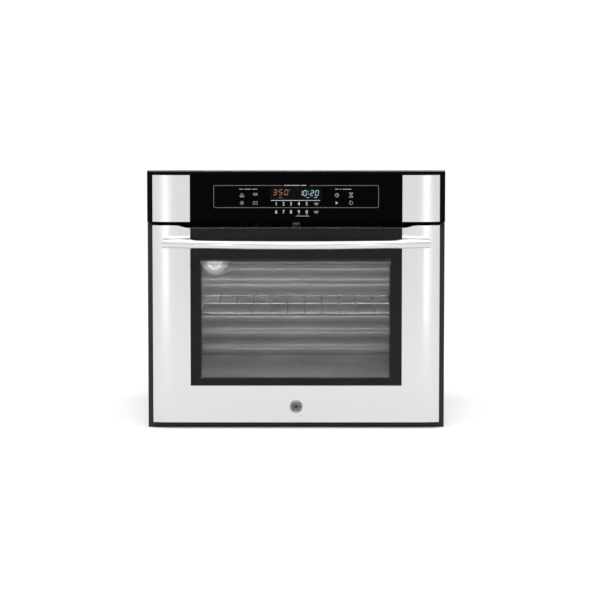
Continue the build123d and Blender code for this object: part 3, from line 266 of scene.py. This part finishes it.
STEEL = (0.622, 0.622, 0.619)
SLOT_MATERIALS = {
    "stainless": brushed("stainless", STEEL, 0.2),
    "black_trim": painted("satin_black", (0.012, 0.012, 0.0124), 0.45, spec=0.24),
    "housing_black": painted("gloss_black", (0.0022, 0.0022, 0.0024), 0.25, spec=0.02),
    "control_glass": painted("control_glass", (0.0010, 0.0010, 0.0011), 0.08,
                             spec=0.012, peel=0.000002, scale=40),
    "door_glass": glass("tinted_glass", (0.004, 0.004, 0.0044), 0.05, 0.26, spec=0.15),
    "clear_glass": glass("clear_glass", (0.5, 0.53, 0.52), 0.04, 0.04),
    "galvanised": galvanised("galvanised", (0.5, 0.51, 0.52), 0.40),
    "zinc": brushed("zinc_plate", (0.6, 0.6, 0.59), 0.35, grain=(1, 1, 1), spread=0.12),
    "spring_steel": brushed("spring_steel", (0.33, 0.33, 0.34), 0.35, grain=(1, 1, 1), spread=0.15),
    "porcelain": porcelain("porcelain", (0.175, 0.177, 0.181), 0.30),
    "insulation": fibre("mineral_wool", (0.42, 0.41, 0.385)),
    "gasket": fibre("woven_gasket", (0.2, 0.2, 0.19), scale=700),
    "element": painted("oxidised_sheath", (0.06, 0.055, 0.05), 0.6, peel=0.0001, spread=0.4),
    "rack_chrome": brushed("bright_wire", (0.24, 0.24, 0.24), 0.26, grain=(1, 1, 1), spread=0.05),
    "lamp_metal": brushed("pressed_can", (0.75, 0.75, 0.74), 0.3, grain=(1, 1, 1), spread=0.08),
    "black_plastic": moulded("black_plastic", (0.02, 0.02, 0.02), 0.5),
    "motor_metal": painted("motor_case", (0.25, 0.26, 0.27), 0.5),
    "circuit_board": circuit("circuit_board"),
    "badge": painted("badge_enamel", (0.008, 0.008, 0.009), 0.3, spec=0.2),
}


def give(node_name, material):
    """The CAD node shows one material."""
    materials = frame["nodes"][node_name].data.materials
    materials.clear()
    materials.append(material)


for part in frame["record"]["subparts"]:
    give(part["node"], SLOT_MATERIALS[part["material_slot"]])
give("lamp_bulb", glowing("bulb_glow", (1.0, 0.93, 0.82), 12.0))
# Front frame: black paint, made darker still as painted shade for the deep gap above the door
frame_black_and_shade = painted("frame_black_and_shade", (0.0025, 0.0025, 0.0026), 0.6, spec=0.03)
give("front_frame", frame_black_and_shade)
latch_plate = brushed("latch_plate", (0.09, 0.09, 0.09), 0.4, grain=(1, 1, 1), spread=0.12)
give("latch_hook", latch_plate)
PRINT = moulded("printed_grey", (0.55, 0.55, 0.55), 0.5)
FRIT = painted("printed_black", (0.010, 0.010, 0.0103), 0.5, spec=0.14)


# ---- Mesh helpers: every piece is in the row frame, in metres
def add(name, build, body, material, smooth=False, replaces=()):
    mesh = bpy.data.meshes.new(name)
    bm = bmesh.new()
    build(bm)
    bmesh.ops.recalc_face_normals(bm, faces=bm.faces)
    if smooth:
        for face in bm.faces:
            face.smooth = True
    bm.to_mesh(mesh)
    bm.free()
    mesh.materials.append(material)
    piece = bpy.data.objects.new(name, mesh)
    SCENE.collection.objects.link(piece)
    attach(piece, body)
    if replaces:
        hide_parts(*replaces)
    return piece


def prism(bm, outline, y0, y1):
    """An outline drawn in X and Z, made solid between two depths."""
    front = [bm.verts.new((x, y0, z)) for x, z in outline]
    back = [bm.verts.new((x, y1, z)) for x, z in outline]
    bm.faces.new(front)
    bm.faces.new(list(reversed(back)))
    count = len(outline)
    for i in range(count):
        j = (i + 1) % count
        bm.faces.new((front[i], back[i], back[j], front[j]))


def stroke(bm, points, width, y0, y1, closed=False):
    """Line of even width along points in X and Z."""
    half = width / 2
    count = len(points)
    sides = []
    for i, point in enumerate(points):
        before = points[(i - 1) % count] if closed or i else None
        after = points[(i + 1) % count] if closed or i < count - 1 else None
        first = Vector((point[0] - before[0], point[1] - before[1])).normalized() if before else None
        second = Vector((after[0] - point[0], after[1] - point[1])).normalized() if after else None
        run = ((first or second) + (second or first)).normalized()
        across = Vector((-run.y, run.x)) * half / max(0.3, run.dot(first or second))
        sides.append(((point[0] + across.x, point[1] + across.y),
                      (point[0] - across.x, point[1] - across.y)))
    for i in range(count if closed else count - 1):
        j = (i + 1) % count
        prism(bm, [sides[i][0], sides[j][0], sides[j][1], sides[i][1]], y0, y1)


def circle(x, z, radius, steps=24, start=0.0, sweep=math.tau):
    count = steps if sweep >= math.tau - 1e-6 else steps + 1
    turns = [start + sweep * i / steps for i in range(count)]
    return [(x + radius * math.cos(turn), z + radius * math.sin(turn)) for turn in turns]


def lathe_y(bm, x, z, profile, steps=48):
    """Turned shape about an axis along Y; the profile is radius and y."""
    rings = []
    for radius, y in profile:
        if radius < 1e-7:
            rings.append([bm.verts.new((x, y, z))])
        else:
            rings.append([bm.verts.new((px, y, pz)) for px, pz in circle(x, z, radius, steps)])
    for near, far in zip(rings, rings[1:]):
        for i in range(steps):
            j = (i + 1) % steps
            ring = [near[i % len(near)], near[j % len(near)], far[j % len(far)], far[i % len(far)]]
            bm.faces.new(list(dict.fromkeys(ring)))


def box(bm, low, high, bevel=0.0):
    made = bmesh.ops.create_cube(bm, size=1)["verts"]
    for v in made:
        v.co = Vector([low[i] if v.co[i] < 0 else high[i] for i in range(3)])
    if bevel:
        edges = list({e for v in made for e in v.link_edges})
        bmesh.ops.bevel(bm, geom=edges, offset=bevel, segments=2, profile=0.5, affect="EDGES")


# ---- Control front: printed outline, keys, digits and the two displays
glass_low, glass_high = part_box("control_glass")
PANEL_Y = glass_low.y
PRINT_Y = (PANEL_Y - 0.00012, PANEL_Y + 0.00004)
PRINT_RAISE = 0.0060
PANEL_MID = (glass_low.z + glass_high.z) / 2 + PRINT_RAISE


def outline(bm):
    left, right, top, bottom = -0.2087, 0.2087, PANEL_MID + 0.0271, PANEL_MID - 0.0290
    corner = 0.0035
    gap = 0.0345
    y0, y1 = PRINT_Y
    run = [(-gap, top), (left + corner, top)]
    run += circle(left + corner, top - corner, corner, 5, math.pi / 2, math.pi / 2)
    run += circle(left + corner, bottom + corner, corner, 5, math.pi, math.pi / 2)
    run += circle(right - corner, bottom + corner, corner, 5, math.pi * 1.5, math.pi / 2)
    run += circle(right - corner, top - corner, corner, 5, 0, math.pi / 2)
    run += [(gap, top)]
    clean = [run[0]]
    for point in run[1:]:
        if (Vector(point) - Vector(clean[-1])).length > 1e-5:
            clean.append(point)
    stroke(bm, clean, 0.0011, y0, y1)


add("panel_outline", outline, "chassis", moulded("printed_line", (0.14, 0.14, 0.14), 0.5))


def digits(name, text, x, z, height, spacing, material, body="chassis"):
    """Plain figures as flat raised print, each centred on its place."""
    curve = bpy.data.curves.new(name, "FONT")
    curve.body = text
    curve.size = height / 0.7
    curve.align_x = "CENTER"
    curve.align_y = "CENTER"
    curve.space_character = spacing
    curve.extrude = 0.00006
    curve.resolution_u = 6
    flat = bpy.data.objects.new(name + "_curve", curve)
    SCENE.collection.objects.link(flat)
    bpy.context.view_layer.update()
    mesh = bpy.data.meshes.new_from_object(flat.evaluated_get(bpy.context.evaluated_depsgraph_get()))
    bpy.data.objects.remove(flat)
    for v in mesh.vertices:
        v.co = Vector((x + v.co.x, PANEL_Y + v.co.z - 0.00005, z + v.co.y))
    mesh.name = name
    mesh.materials.clear()
    mesh.materials.append(material)
    piece = bpy.data.objects.new(name, mesh)
    SCENE.collection.objects.link(piece)
    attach(piece, body)
    return piece


KEY_X = [-0.0506, -0.0321, -0.0132, 0.0069, 0.0268]
ROW_Z = (PANEL_MID - 0.0194, PANEL_MID - 0.0403)
for row, line in enumerate(("12345", "67890")):
    for place, figure in enumerate(line):
        digits(f"key_{figure}", figure, KEY_X[place], ROW_Z[row], 0.0088, 1.0, PRINT)


def bar(bm, x, z, width, height=0.0014):
    prism(bm, [(x - width / 2, z - height / 2), (x + width / 2, z - height / 2),
               (x + width / 2, z + height / 2), (x - width / 2, z + height / 2)], *PRINT_Y)


def symbols(bm):
    """Headings as short bars, and a small picture for each key."""
    y0, y1 = PRINT_Y
    line = 0.0010
    top = PANEL_MID + 0.0177
    upper, lower = PANEL_MID + 0.0025, PANEL_MID - 0.0171
    for x0, widths in ((-0.1446, (0.010, 0.016, 0.013)), (0.0985, (0.008, 0.004, 0.022))):
        x = x0
        for width in widths:
            bar(bm, x + width / 2, top, width, 0.0016)
            x += width + 0.0035
    for x, width in ((-0.022, 0.018), (-0.0015, 0.020), (0.0185, 0.014)):
        bar(bm, x, PANEL_MID + 0.0274, width, 0.0018)
    # left keys: element below, element above, lamp, self-clean
    for i in range(2):
        bar(bm, -0.1374, upper - 0.0016 - 0.0026 * i, 0.011, 0.0013)
    bar(bm, -0.1374, upper + 0.0030, 0.007, 0.0013)
    zigzag = [(-0.1035 - 0.0056 + 0.0028 * i, upper + (0.0022 if i % 2 else -0.0010)) for i in range(5)]
    stroke(bm, zigzag, line, y0, y1)
    bar(bm, -0.1035, upper + 0.0044, 0.012, 0.0012)
    stroke(bm, circle(-0.1374, lower, 0.0024), line, y0, y1, closed=True)
    for i in range(8):
        angle = math.tau * i / 8
        stroke(bm, [(-0.1374 + 0.0037 * math.cos(angle), lower + 0.0037 * math.sin(angle)),
                    (-0.1374 + 0.0052 * math.cos(angle), lower + 0.0052 * math.sin(angle))], 0.0009, y0, y1)
    for i in range(3):
        for j in range(4):
            prism(bm, circle(-0.1035 + 0.0034 * (j - 1.5), lower + 0.0034 * (i - 1), 0.0009, 10), y0, y1)
    # right keys: clock, timer, start, delay
    stroke(bm, circle(0.1032, upper, 0.0044), line, y0, y1, closed=True)
    stroke(bm, [(0.1032, upper + 0.0030), (0.1032, upper), (0.1054, upper - 0.0012)], line, y0, y1)
    stroke(bm, [(0.1340, upper + 0.0055), (0.1440, upper + 0.0055)], 0.0013, y0, y1)
    stroke(bm, [(0.1346, upper + 0.0050), (0.1434, upper - 0.0045)], line, y0, y1)
    stroke(bm, [(0.1434, upper + 0.0050), (0.1346, upper - 0.0045)], line, y0, y1)
    stroke(bm, [(0.1340, upper - 0.0050), (0.1440, upper - 0.0050)], 0.0013, y0, y1)
    prism(bm, [(0.1000, lower - 0.0040), (0.1066, lower), (0.1000, lower + 0.0040)], y0, y1)
    stroke(bm, circle(0.1390, lower, 0.0042, 20, math.pi * 0.65, math.pi * 1.7), line, y0, y1)
    prism(bm, [(0.1352, lower + 0.0052), (0.1396, lower + 0.0058), (0.1378, lower + 0.0018)], y0, y1)
    # the two keys beside the figures, and the mark under them
    for z in ROW_Z:
        for i in range(2):
            bar(bm, 0.0508, z + 0.0016 - 0.0036 * i, 0.0115 - 0.003 * i, 0.0015)
    bar(bm, 0.0159, PANEL_MID - 0.0505, 0.034, 0.0013)
    for x in (0.0069, 0.0268):
        bar(bm, x, PANEL_MID - 0.0477, 0.0010, 0.0040)


add("panel_symbols", symbols, "chassis", moulded("printed_symbols", (0.30, 0.30, 0.30), 0.5))
add("display_underline", lambda bm: bar(bm, -0.0016, PANEL_MID - 0.0108, 0.1245, 0.0012), "chassis",
    moulded("printed_white", (0.5, 0.5, 0.5), 0.5))

DISPLAY = (-0.0660, 0.0650, PANEL_MID - 0.0075, PANEL_MID + 0.0245)


def display_window(bm):
    """Smoked window over both displays, a hair proud of the glass."""
    x0, x1, z0, z1 = DISPLAY
    box(bm, (x0, PANEL_Y - 0.00006, z0), (x1, PANEL_Y + 0.0001, z1))


add("display_window", display_window, "chassis",
    painted("display_smoke", (0.0022, 0.0026, 0.0028), 0.12, spec=0.03, peel=0.000002, scale=60))

SEGMENTS = {"0": "abcdef", "1": "bc", "2": "abged", "3": "abgcd", "5": "afgcd"}


LIT_Y = (PANEL_Y - 0.00016, PANEL_Y - 0.00002)


def seven(bm, figure, x, z, width, height, thick, slant=0.12):
    """One seven-segment figure, leaning a little."""
    w, h = width / 2, height / 2
    ends = {"a": ((-w, h), (w, h)), "b": ((w, h), (w, 0)), "c": ((w, 0), (w, -h)), "d": ((-w, -h), (w, -h)),
            "e": ((-w, 0), (-w, -h)), "f": ((-w, h), (-w, 0)), "g": ((-w, 0), (w, 0))}
    for name in SEGMENTS[figure]:
        (ax, az), (bx, bz) = ends[name]
        run = Vector((bx - ax, bz - az)).normalized() * thick * 0.65
        side = Vector((-run.y, run.x)).normalized() * thick / 2
        start, stop = Vector((ax, az)) + run, Vector((bx, bz)) - run
        points = [start - run * 0.6, start + side, stop + side, stop + run * 0.6, stop - side, start - side]
        prism(bm, [(x + p.x + slant * p.y, z + p.y) for p in points], *LIT_Y)


def temperature(bm):
    for i, figure in enumerate("350"):
        seven(bm, figure, -0.0535 + 0.0142 * i, PANEL_MID + 0.0098, 0.0078, 0.0130, 0.0016)
    prism(bm, circle(-0.0165, PANEL_MID + 0.0163, 0.0011, 12), *LIT_Y)
    bar(bm, -0.0390, PANEL_MID - 0.0035, 0.010, 0.0012)


def clock(bm):
    for x, figure in ((0.0115, "1"), (0.0225, "0"), (0.0400, "2"), (0.0525, "0")):
        seven(bm, figure, x, PANEL_MID + 0.0078, 0.0074, 0.0130, 0.0019)
    for dz in (-0.0030, 0.0030):
        prism(bm, circle(0.0312 + dz * 0.12, PANEL_MID + 0.0088 + dz, 0.0011, 12), *LIT_Y)
    for x in (0.0300, 0.0490):
        bar(bm, x, PANEL_MID - 0.0035, 0.008, 0.0012)


add("display_temperature", temperature, "chassis",
    glowing("orange_segments", (1.0, 0.36, 0.14), 0.30))
add("display_clock", clock, "chassis",
    glowing("teal_segments", (0.45, 0.76, 0.84), 0.70))

# ---- Door: printed border and dots inside the outer glass, handle ends, badge ring
pane_low, pane_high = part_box("door_glass")
FRIT_Y = (pane_high.y - 0.0006, pane_high.y - 0.0003)
CLEAR_LEFT, CLEAR_RIGHT = -0.2392, 0.2358
CLEAR_FOOT = 0.0222
CLEAR_HEAD = 0.0947
CLEAR = (CLEAR_LEFT, CLEAR_RIGHT, pane_low.z + CLEAR_FOOT, pane_high.z - CLEAR_HEAD)
DOT_ROWS = 5
DOT_PITCH = 0.0031


def frit(bm):
    """Opaque border, with a band of dots that shrink towards the clear middle."""
    x0, x1 = pane_low.x + 0.0006, pane_high.x - 0.0006
    z0, z1 = pane_low.z + 0.0006, pane_high.z - 0.0006
    cx0, cx1, cz0, cz1 = CLEAR
    top = cz1 + DOT_ROWS * DOT_PITCH
    side = 0.004
    for low, high in (((x0, z0), (cx0 - side, z1)), ((cx1 + side, z0), (x1, z1)),
                      ((cx0 - side, z0), (cx1 + side, cz0 - side)), ((cx0 - side, top), (cx1 + side, z1))):
        prism(bm, [low, (high[0], low[1]), high, (low[0], high[1])], *FRIT_Y)


def dots(bm):
    cx0, cx1, cz0, cz1 = CLEAR
    count = int((cx1 - cx0) / DOT_PITCH) + 2
    y0, y1 = FRIT_Y
    for row in range(DOT_ROWS):
        radius = DOT_PITCH * (0.34 + 0.26 * row / DOT_ROWS)
        for i in range(count):
            x = cx0 - DOT_PITCH * 0.5 + DOT_PITCH * (i + (row % 2) / 2)
            prism(bm, circle(x, cz1 + DOT_PITCH * (row + 0.5), radius, 6, math.pi / 6), y0, y1)
    for row in range(2):
        radius = DOT_PITCH * (0.36 + 0.14 * row)
        out = DOT_PITCH * (0.25 + 0.75 * row)
        for i in range(count):
            x = cx0 + DOT_PITCH * (i + (row % 2) / 2)
            prism(bm, circle(x, cz0 - out, radius, 6, math.pi / 6), y0, y1)
        for i in range(int((cz1 - cz0) / DOT_PITCH) + 1):
            z = cz0 + DOT_PITCH * (i + (row % 2) / 2)
            for x in (cx0 - out, cx1 + out):
                prism(bm, circle(x, z, radius, 6, math.pi / 6), y0, y1)


add("door_frit", frit, "door", FRIT)
add("door_frit_dots", dots, "door", FRIT)

bar_low, bar_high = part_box("handle_bar")
HANDLE_R = (bar_high.z - bar_low.z) / 2
HANDLE_BOW = 0.042
HANDLE_Z = (bar_low.z + bar_high.z) / 2


def handle_ends(bm):
    """Domed plugs that close the tube's two ends."""
    half = bar_high.x
    radius = (half * half + HANDLE_BOW * HANDLE_BOW) / (2 * HANDLE_BOW)
    angle = math.asin(half / radius)
    end_y = bar_high.y - HANDLE_R * math.cos(angle)
    for side in (-1, 1):
        axis = Vector((side * math.cos(angle), math.sin(angle), 0))
        across = Vector((-axis.y, axis.x, 0))
        centre = Vector((side * (bar_high.x - HANDLE_R * math.sin(angle)), end_y, HANDLE_Z))
        profile = [(0.0094, -0.006), (0.0094, 0.0), (HANDLE_R, 0.0002), (HANDLE_R, 0.0006), (0.0103, 0.0016),
                   (0.0070, 0.0023), (0.0, 0.0027)]
        rings = []
        for r, out in profile:
            if r == 0:
                rings.append([bm.verts.new(centre + axis * out)])
                continue
            ring = []
            for i in range(40):
                angle_round = math.tau * i / 40
                off = across * math.cos(angle_round) + Vector((0, 0, 1)) * math.sin(angle_round)
                ring.append(bm.verts.new(centre + axis * out + off * r))
            rings.append(ring)
        for near, far in zip(rings, rings[1:]):
            for i in range(40):
                j = (i + 1) % 40
                ring = [near[i], near[j], far[j % len(far)], far[i % len(far)]]
                bm.faces.new(list(dict.fromkeys(ring)))
        bm.faces.new(rings[0])


add("handle_ends", handle_ends, "door", SLOT_MATERIALS["stainless"], smooth=True)

badge_low, badge_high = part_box("badge")


def badge_rings(bm):
    x, z, y = 0.0, (badge_low.z + badge_high.z) / 2, badge_low.y
    for inner, outer in ((0.0128, 0.0140), (0.0062, 0.0070)):
        section = [(inner, y + 0.0002), (inner, y - 0.0004), (inner + 0.0003, y - 0.0006),
                   (outer - 0.0003, y - 0.0006), (outer, y - 0.0004), (outer, y + 0.0002),
                   (inner, y + 0.0002)]
        lathe_y(bm, x, z, section, 64)
    for i in range(8):
        angle = math.tau * (i + 0.5) / 8
        near, far = [(x + reach * math.cos(angle), z + reach * math.sin(angle)) for reach in (0.0084, 0.0114)]
        stroke(bm, [near, far], 0.0011, y - 0.0004, y + 0.0001)


add("badge_rings", badge_rings, "door",
    brushed("badge_silver", (0.7, 0.7, 0.69), 0.25, grain=(1, 1, 1)))

# ---- Latch: the plated slot edge in the door's top
tongue_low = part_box("latch_hook")[0]


def strike(bm):
    z = pane_high.z
    for x in (-0.0082, 0.0082):
        low = (x - 0.0010, tongue_low.y - 0.0045, z - 0.0060)
        high = (x + 0.0010, tongue_low.y + 0.0070, z + 0.0012)
        box(bm, low, high, 0.0003)


add("latch_strike", strike, "door", latch_plate)

# ---- Screen behind the air outlets over the door, its black also painted shade for the gap
duct_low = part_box("cooling_duct")[0]
face_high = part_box("front_frame")[1]


def outlet_screen(bm):
    """Thin sheet on each side of the latch, pierced by rows of narrow slits; its darkness is painted shade in
    the duct mouth.
    """
    low, high = duct_low.z + 0.0036, duct_low.z + 0.0160
    y0 = face_high.y + 0.0008
    for side in (-1, 1):
        start, stop = 0.060, 0.302
        count = 44
        pitch = (stop - start) / count
        for i in range(count):
            x0 = side * (start + pitch * i)
            x1 = side * (start + pitch * (i + 0.92))
            box(bm, (min(x0, x1), y0, low), (max(x0, x1), y0 + 0.0006, high), 0.0001)
        for z in (low, high):
            edges = sorted((side * start, side * stop))
            box(bm, (edges[0], y0, z - 0.0006), (edges[1], y0 + 0.0006, z + 0.0006))


add("outlet_screen", outlet_screen, "chassis", frame_black_and_shade)

# ---- Woven gasket in place of its plain ring
ring_low, ring_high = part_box("door_gasket")


def gasket(bm):
    """Rounded rope section round the cavity mouth, with its woven ridges."""
    width = 0.012
    half_x = (ring_high.x - ring_low.x) / 2 - width / 2
    half_z = (ring_high.z - ring_low.z) / 2 - width / 2
    cz = (ring_high.z + ring_low.z) / 2
    y_mid, y_half = (ring_high.y + ring_low.y) / 2, (ring_high.y - ring_low.y) / 2
    corner = 0.018
    path = []
    step = 0.004
    across, up = half_x - corner, half_z - corner
    for turn, (side, rise) in enumerate(((1, 1), (-1, 1), (-1, -1), (1, -1))):
        path += circle(side * across, cz + rise * up, corner, 8, turn * math.pi / 2, math.pi / 2)
    dense = []
    for i, point in enumerate(path):
        following = path[(i + 1) % len(path)]
        run = Vector(following) - Vector(point)
        parts = max(1, round(run.length / step))
        dense += [tuple(Vector(point) + run * k / parts) for k in range(parts)]
    count = len(dense)
    rings = []
    for i, point in enumerate(dense):
        run = (Vector(dense[(i + 1) % count]) - Vector(dense[i - 1])).normalized()
        out = Vector((run.y, -run.x))
        ring = []
        for k in range(12):
            angle = math.tau * k / 12
            ridge = 1 + 0.035 * math.cos(i * 1.6 + angle * 3)
            r = math.cos(angle) * width / 2 * ridge
            y = y_mid + math.sin(angle) * y_half * 0.98 * (1 if ridge > 1 else ridge)
            ring.append(bm.verts.new((point[0] + out.x * r, y, point[1] + out.y * r)))
        rings.append(ring)
    for i in range(count):
        for k in range(12):
            here, there = rings[i], rings[(i + 1) % count]
            bm.faces.new((here[k], here[(k + 1) % 12], there[(k + 1) % 12], there[k]))


add("gasket_rope", gasket, "chassis", SLOT_MATERIALS["gasket"], smooth=True,
    replaces=("door_gasket",))

# ---- Ribbed lamp glass in place of the plain dome
lens_low, lens_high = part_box("lamp_lens")
LENS_X, LENS_Z = (lens_low.x + lens_high.x) / 2, (lens_low.z + lens_high.z) / 2


def lens(bm):
    radius = (lens_high.x - lens_low.x) / 2
    depth = lens_high.y - lens_low.y
    profile = [(radius - 0.003, lens_high.y), (radius, lens_high.y), (radius, lens_high.y - 0.004)]
    steps = 30
    for i in range(steps + 1):
        share = i / steps
        r = (radius - 0.001) * math.cos(share * math.pi / 2)
        y = lens_high.y - 0.004 - (depth - 0.005) * math.sin(share * math.pi / 2) ** 0.8
        ripple = 0.0007 * math.cos(share * math.tau * 7) * (1 - share * 0.3)
        profile.append((max(r, 0.0), y + ripple if r > 1e-6 else y))
    profile[-1] = (0.0, profile[-1][1])
    lathe_y(bm, LENS_X, LENS_Z, profile, 64)


add("lamp_glass", lens, "chassis", lens_glow(), smooth=True, replaces=("lamp_lens",))


# ---- Chassis: pressed stiffening ribs and rows of screws
side_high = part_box("side_panel_right")[1]
top_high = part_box("top_panel")[1]
rear_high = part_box("rear_panel")[1]


def rib(bm, a, b, normal, width=0.022, height=0.0045):
    """Long rounded bead pressed out of a panel, from a to b."""
    a, b, normal = Vector(a), Vector(b), Vector(normal)
    run = (b - a).normalized()
    across = run.cross(normal)
    rows = []
    for share, lift in ((-1, 0), (-0.8, 0.55), (-0.45, 0.95), (0, 1.0), (0.45, 0.95), (0.8, 0.55), (1, 0)):
        row = []
        for end, centre in ((-1, a), (1, b)):
            steps = 5
            for k in range(steps + 1):
                angle = math.pi / 2 * (k / steps if end > 0 else 1 - k / steps)
                reach = math.sin(angle) * width / 2 * math.sqrt(max(0.0, 1 - share * share * 0.98))
                fall = 1 - math.sin(angle) ** 3
                row.append(bm.verts.new(centre + run * end * reach + across * share * width / 2
                                        + normal * (height * lift * fall - 0.0002)))
        rows.append(row)
    for first, second in zip(rows, rows[1:]):
        for k in range(len(first) - 1):
            bm.faces.new((first[k], first[k + 1], second[k + 1], second[k]))


def side_ribs(bm):
    for side in (-1, 1):
        x = side * side_high.x
        for z in (0.16, 0.30, 0.44):
            rib(bm, (x, 0.06, z), (x, side_high.y - 0.06, z), (side, 0, 0))


def rear_ribs(bm):
    for x in (-0.20, -0.10, 0.0, 0.10, 0.20):
        rib(bm, (x, rear_high.y, 0.06), (x, rear_high.y, 0.44), (0, 1, 0))


def top_ribs(bm):
    for x in (-0.25, 0.25):
        rib(bm, (x, 0.06, top_high.z), (x, 0.46, top_high.z), (0, 0, 1))


add("side_ribs", side_ribs, "chassis", SLOT_MATERIALS["galvanised"], smooth=True)
add("rear_ribs", rear_ribs, "chassis", SLOT_MATERIALS["galvanised"], smooth=True)
add("top_ribs", top_ribs, "chassis", SLOT_MATERIALS["galvanised"], smooth=True)


def screw_head(bm, place, normal, radius=0.0038, height=0.0018):
    """Pan head with its cross recess."""
    place, normal = Vector(place), Vector(normal)
    first = normal.orthogonal().normalized()
    second = normal.cross(first)
    rings = []
    section = [(radius, 0.0), (radius, height * 0.45), (radius * 0.8, height * 0.85),
               (radius * 0.35, height), (radius * 0.30, height * 0.5), (0.0, height * 0.45)]
    for r, h in section:
        if r == 0:
            rings.append([bm.verts.new(place + normal * h)])
            continue
        ring = []
        for i in range(16):
            angle = math.tau * i / 16
            pull = (1.25 if i % 4 == 0 else 0.55) if r < radius * 0.5 else 1.0
            off = first * math.cos(angle) + second * math.sin(angle)
            ring.append(bm.verts.new(place + normal * h + off * r * pull))
        rings.append(ring)
    for near, far in zip(rings, rings[1:]):
        for i in range(16):
            j = (i + 1) % 16
            bm.faces.new(list(dict.fromkeys([near[i], near[j], far[j % len(far)], far[i % len(far)]])))


def sheet_screws(bm):
    for side in (-1, 1):
        for z in (0.05, 0.20, 0.34, 0.48, side_high.z - 0.02):
            screw_head(bm, (side * side_high.x, 0.016, z), (side, 0, 0))
            screw_head(bm, (side * side_high.x, side_high.y - 0.010, z), (side, 0, 0))
        for y in (0.12, 0.28, 0.44):
            screw_head(bm, (side * side_high.x, y, 0.013), (side, 0, 0))
        for y in (0.05, 0.20, 0.35, 0.50):
            screw_head(bm, (side * (top_high.x - 0.012), y, top_high.z), (0, 0, 1))
    cover_low, cover_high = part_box("terminal_box")
    for x in (-0.285, -0.215):
        for z in (cover_low.z + 0.01, cover_high.z - 0.01):
            screw_head(bm, (x, cover_high.y, z), (0, 1, 0))


add("sheet_screws", sheet_screws, "chassis", SLOT_MATERIALS["zinc"])


# ---- Floor, light and camera
floor_mesh = bpy.data.meshes.new("floor")
bm = bmesh.new()
corners = ((-60, -60, 0), (60, -60, 0), (60, 120, 0), (-60, 120, 0))
bm.faces.new([bm.verts.new(corner) for corner in corners])
bm.to_mesh(floor_mesh)
bm.free()
floor = bpy.data.objects.new("floor", floor_mesh)
SCENE.collection.objects.link(floor)
floor.location.z = CAD_BOX[0].z - 0.0002
floor_look = Recipe("floor", (0.86, 0.86, 0.86), 0.6, spec=0.1)
floor_look.shade(floor_look.remap(floor_look.noise(3), 0, 1), 0.01)
floor_mesh.materials.append(floor_look.material)

world = bpy.data.worlds.new("studio")
SCENE.world = world
world.use_nodes = True
world.node_tree.nodes["Background"].inputs["Color"].default_value = (1, 1, 1, 1)
world.node_tree.nodes["Background"].inputs["Strength"].default_value = 1.0


def softbox(name, place, aim, width, height, power):
    """Rectangular lamp that the camera doesn't see."""
    light = bpy.data.lights.new(name, "AREA")
    light.shape = "RECTANGLE"
    light.size = width
    light.size_y = height
    light.energy = power
    lamp = bpy.data.objects.new(name, light)
    lamp.location = place
    lamp.rotation_euler = (Vector(aim) - Vector(place)).to_track_quat("-Z", "Y").to_euler()
    lamp.visible_camera = False
    SCENE.collection.objects.link(lamp)


softbox("overhead", (0, -0.9, 2.6), (0, -0.3, 0.3), 2.4, 1.4, 18)
KEY_HEIGHT = math.radians(50)
KEY_SPREAD = math.radians(20)
key_light = bpy.data.lights.new("key", "SUN")
key_light.energy = 1.1
key_light.angle = KEY_SPREAD
key = bpy.data.objects.new("key", key_light)
shine = Vector((0, math.cos(KEY_HEIGHT), -math.sin(KEY_HEIGHT)))
key.rotation_euler = shine.to_track_quat("-Z", "Y").to_euler()
SCENE.collection.objects.link(key)
for side in (-1, 1):
    softbox(f"strip_{side}", (side * 0.80, -2.2, 0.62), (side * 0.335, -0.05, 0.33), 0.22, 1.24, 1.0)

inside = bpy.data.lights.new("oven_lamp", "POINT")
inside.energy = 0.45
inside.shadow_soft_size = 0.02
inside.color = (1.0, 0.97, 0.93)
lamp = bpy.data.objects.new("oven_lamp", inside)
lamp.location = (LENS_X, lens_low.y - 0.12, LENS_Z)
lamp.visible_camera = False
SCENE.collection.objects.link(lamp)
cavity_low, cavity_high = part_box("liner_back")
softbox("cavity_fill", (0.03, 0.10, cavity_high.z - 0.03), (0.03, cavity_low.y - 0.10, cavity_low.z - 0.02),
        0.54, 0.12, 4.3)

DISTANCE = 8.0
ELEVATION = math.radians(6.7)
surround_low, surround_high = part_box("control_surround")
FRONT_WIDTH = surround_high.x - surround_low.x
SHARE_OF_FRAME = 0.49508
SHIFT_X, SHIFT_Y = 0.0064, 0.0005
camera_data = bpy.data.cameras.new("camera")
camera_data.sensor_width = 36
camera_data.lens = 36 * DISTANCE * SHARE_OF_FRAME / FRONT_WIDTH
camera_data.shift_x = SHIFT_X
camera_data.shift_y = SHIFT_Y
camera = bpy.data.objects.new("camera", camera_data)
target = Vector((0, surround_low.y, surround_high.z / 2))
away = Vector((0, -math.cos(ELEVATION), math.sin(ELEVATION)))
camera.location = target + away * DISTANCE
camera.rotation_euler = (-away).to_track_quat("-Z", "Y").to_euler()
camera_data.clip_end = 300
SCENE.collection.objects.link(camera)
SCENE.camera = camera
SCENE.view_settings.view_transform = "Standard"
SCENE.cycles.transparent_max_bounces = 24
